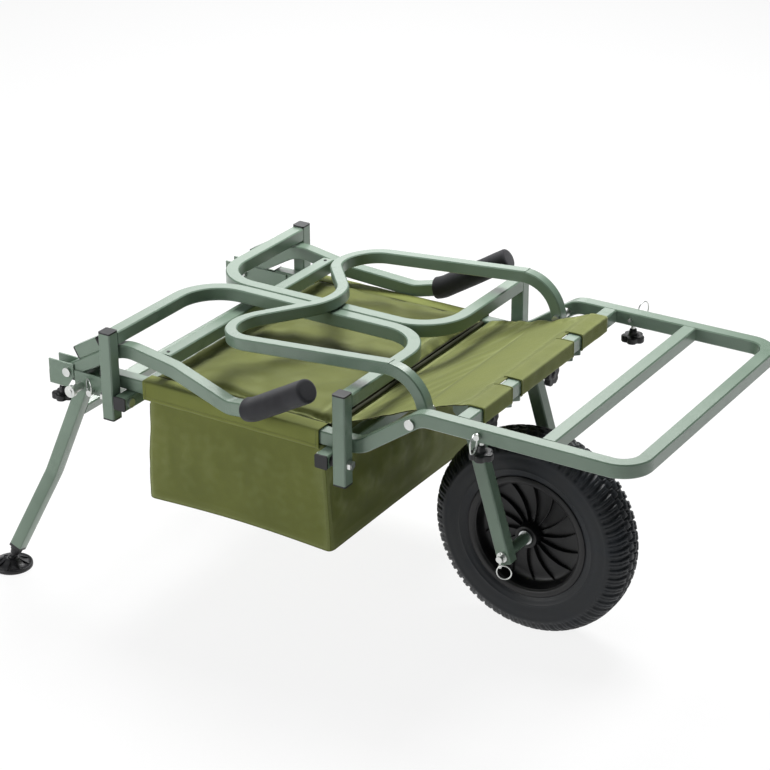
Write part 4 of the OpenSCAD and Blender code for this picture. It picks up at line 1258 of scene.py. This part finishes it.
def lobed(angle, radius):
    dip = (0.5 - 0.5 * math.cos(knob["lobes"] * angle)) ** 2.2
    return radius * (1 - knob["lobeDepth"] * dip)


def aboutAxis(base, h, r, angle):  # a point round a clamp's own axis
    return place(*(base @ Vector((h, r * math.sin(angle), r * math.cos(angle)))))


def makeKnob(name, base):
    # rings from the neck to the top: radius, height, and whether the lobes show there
    e, wide, high, neck = knob["edge"], knob["radius"], knob["height"], knob["neck"]
    end, low = knob["neckEnd"], knob["base"]
    quarter = np.linspace(0, math.pi / 2, 6)
    profile = [(0.0, end, 0), (5.4, end, 0), (6.2, end + 0.8, 0), (neck - 1, -1.0, 0), (neck, low, 0)]
    profile += [(wide - e - 5, low, 1)]
    profile += [(wide - e + e * math.sin(a), low + e - e * math.cos(a), 1) for a in quarter]
    profile += [(wide - e + e * math.cos(a), high - e + e * math.sin(a), 1) for a in quarter]
    profile += [(wide - e - 5, high - 0.5, 1), (9.0, high - 1.2, 0), (6.4, high - 1.0, 0)]
    profile += [(5.6, high + 1.2, 0), (4.6, high + 1.5, 0), (0.0, high + 1.5, 0)]
    rows = []
    for r, h, lobes in profile:
        reach = [(angle, max(lobed(angle, r) if lobes else r, 0.01)) for angle in turns(knob["around"])]
        rows.append([aboutAxis(base, h, out, angle) for angle, out in reach])
    return gridPiece(name, rows, closed=True, closeEnds=True)


def makeStem(name, base, length):
    radius, pitch = stem["radius"], stem["pitch"]
    h = -length
    profile = [(0.01, h), (radius - 0.6, h)]
    while h < -0.8:  # the thread, one turn at a time
        profile += [(radius, h + pitch * 0.3), (radius - 0.45, h + pitch * 0.8)]
        h += pitch
    profile = [p for p in profile if p[1] < 0.2] + [(0.01, 0.2)]
    rows = [[aboutAxis(base, at, r, angle) for angle in turns(stem["around"])] for r, at in profile]
    return gridPiece(name, rows, closed=True, closeEnds=True)


down = Matrix.Rotation(math.pi / 2, 4, "Y")
forward = Matrix.Identity(4)
knobPlaces = {  # place, way it points and length of the stem
    "leg": ((-135.5, 272.5, 368.0), down, 22.5),
    "extension": ((732.0, 272.5, 475.0), down, 18.3),
    "fork": ((645.58, 108.5, 438.5), forward, 13.4),
}
for kind, (spot, turn, length) in knobPlaces.items():
    for side, name in sides:
        base = Matrix.Translation(Vector((spot[0], side * spot[1], spot[2]))) @ turn
        body = f"{name}_{kind}_clamp"
        piece = dress(makeKnob(f"{name}{kind.title()}Knob", base), blackPlastic, body)
        rod = dress(makeStem(f"{name}{kind.title()}Stem", base, length), zincSteel, body)
        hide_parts(f"{name}_{kind}_knob")
        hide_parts(f"{name}_{kind}_knob")


# round mud feet

foot = {
    "ball": (-239.3554, 330.0173), "around": 72, "gussets": 8, "gussetHalf": 1.1,
    "dish": (  # radius and height, from the middle underneath over the rim to the socket
        (0.01, 1.2), (30, 1.2), (31.5, 0.0), (36.5, 0.0), (37.6, 0.7), (38.0, 2.0), (38.0, 6.4), (37.3, 7.8),
        (36.0, 8.3), (34.6, 8.0), (33.6, 7.0), (28.0, 7.2), (24.0, 8.4), (19.0, 12.0), (15.2, 15.8),
        (12.6, 17.6), (11.9, 18.0), (8.6, 18.0), (7.6, 17.4), (7.3, 16.2), (6.6, 13.8), (4.6, 11.4),
        (0.01, 9.7),
    ),
    "gusset": ((17.0, 7.0), (33.0, 6.6), (33.0, 8.0), (24.0, 12.5), (14.0, 17.4)),
}


def makeFoot(name, side):
    x, y = foot["ball"]
    centre = Vector((x, side * y, 0))
    circle = [Vector((math.cos(a), math.sin(a), 0)) for a in turns(foot["around"])]
    rows = [[place(*(centre + way * r + Vector((0, 0, h)))) for way in circle] for r, h in foot["dish"]]
    parts = [gridPiece(name, rows, closed=True, closeEnds=True)]
    for k in range(foot["gussets"]):
        turn = Matrix.Rotation(2 * math.pi * (k + 0.5) / foot["gussets"], 3, "Z")
        rows = []
        for t in (-foot["gussetHalf"], foot["gussetHalf"]):
            rows.append([place(*(centre + turn @ Vector((r, t, h)))) for r, h in foot["gusset"]])
        parts.append(gridPiece(name + "Rib", rows, closed=True, closeEnds=True, smooth=False, flip=True))
    return joinPieces(name, parts)


for side, name in sides:
    piece = dress(makeFoot(f"{name}MudFoot", side), blackPlastic, f"{name}_mud_foot")
    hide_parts(f"{name}_foot")
print("stage: knobs and feet made")


# bent rear legs and their black ends

leg = {
    "top": (-80.5, 272.5, 395.0), "knee": (-169.982, 272.5, 194.02), "end": (-228.878, 321.331, 43.735),
    "ball": (-239.3554, 330.0173, 17.0), "wide": 24.4, "corner": 2.2, "bend": 10.0, "around": 48,
    "plug": (  # distance past the tube, radius, and 0 where it's still as square as the tube
        (0.05, 0, 0), (5, 0, 0), (5.6, 11.8, 1), (11, 11.2, 1), (12, 9.4, 1), (19, 8.2, 1), (19.3, 4.0, 1),
        (23.5, 4.0, 1),
    ),
    "ballRadius": 7, "ballAt": 30,
}


def squareSection():
    wide, corner = leg["wide"], leg["corner"]
    points = []
    for k, (sx, sy) in enumerate(((1, 1), (-1, 1), (-1, -1), (1, -1))):
        for i in range(5):
            angle = math.pi / 2 * (k + i / 4)
            points.append(Vector((sx * (wide / 2 - corner), sy * (wide / 2 - corner)))
                          + corner * Vector((math.cos(angle), math.sin(angle))))
    return points


def makeLeg():
    top, knee, end = (Vector(leg[key]) for key in ("top", "knee", "end"))
    d1, d2 = (knee - top).normalized(), (end - knee).normalized()
    turn = d1.rotation_difference(d2)
    across, up = Vector((0, 1, 0)), d1.cross(Vector((0, 1, 0)))
    bend = leg["bend"]
    spots = [(top, 0.0), (knee - d1 * bend, 0.0)]
    for i in range(1, 10):
        g = i / 10
        spots.append((knee - d1 * bend * (1 - g) ** 2 + d2 * bend * g ** 2, smoothstep(0, 1, g)))
    spots += [(knee + d2 * bend, 1.0), (end, 1.0)]
    rows = []
    for spot, g in spots:
        way = Matrix.Identity(3).to_quaternion().slerp(turn, g)
        a, u = way @ across, way @ up
        rows.append([place(*(spot + a * q.x + u * q.y)) for q in squareSection()])
    tube = gridPiece("legTube", rows, closed=True, closeEnds=True)
    r = leg["wide"] / 2
    circle = [Vector((r * math.cos(t), 0, r * math.sin(t))) for t in turns(leg["around"])]
    rows = [[place(*(top + across * y + q)) for q in circle] for y in (-r, r)]
    knuckle = gridPiece("legKnuckle", rows, closed=True, closeEnds=True)
    a, u = turn @ across, turn @ up
    down = (Vector(leg["ball"]) - end).normalized()
    circle = [Vector((math.cos(t), math.sin(t))) for t in (math.pi / 10 * (i + 0.5) for i in range(20))]
    size, at = leg["ballRadius"], leg["ballAt"]
    arc = np.linspace(0.65, math.pi - 0.02, 9)
    rows = []
    for h, radius, disc in leg["plug"] + tuple((at - size * math.cos(t), size * math.sin(t), 1) for t in arc):
        shape = [q * radius for q in circle] if disc else squareSection()
        rows.append([place(*(end + down * h + a * q.x + u * q.y)) for q in shape])
    plug = gridPiece("legPlug", rows, closed=True, closeEnds=True)
    return crisp(joinPieces("leftLeg", [tube, knuckle])), crisp(plug)


leftLeg, leftPlug = makeLeg()
for piece, finish, slot, node, name in (
    (leftLeg, frameGreen, "frame_paint", "legs", "rightLeg"),
    (leftPlug, blackPlastic, "black_plastic", "leg_ends", "rightLegPlug"),
):
    for made in (piece, mirrored(piece, name)):
        dress(made, finish, "rear_legs")
        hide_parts(node)
print("stage: legs made")
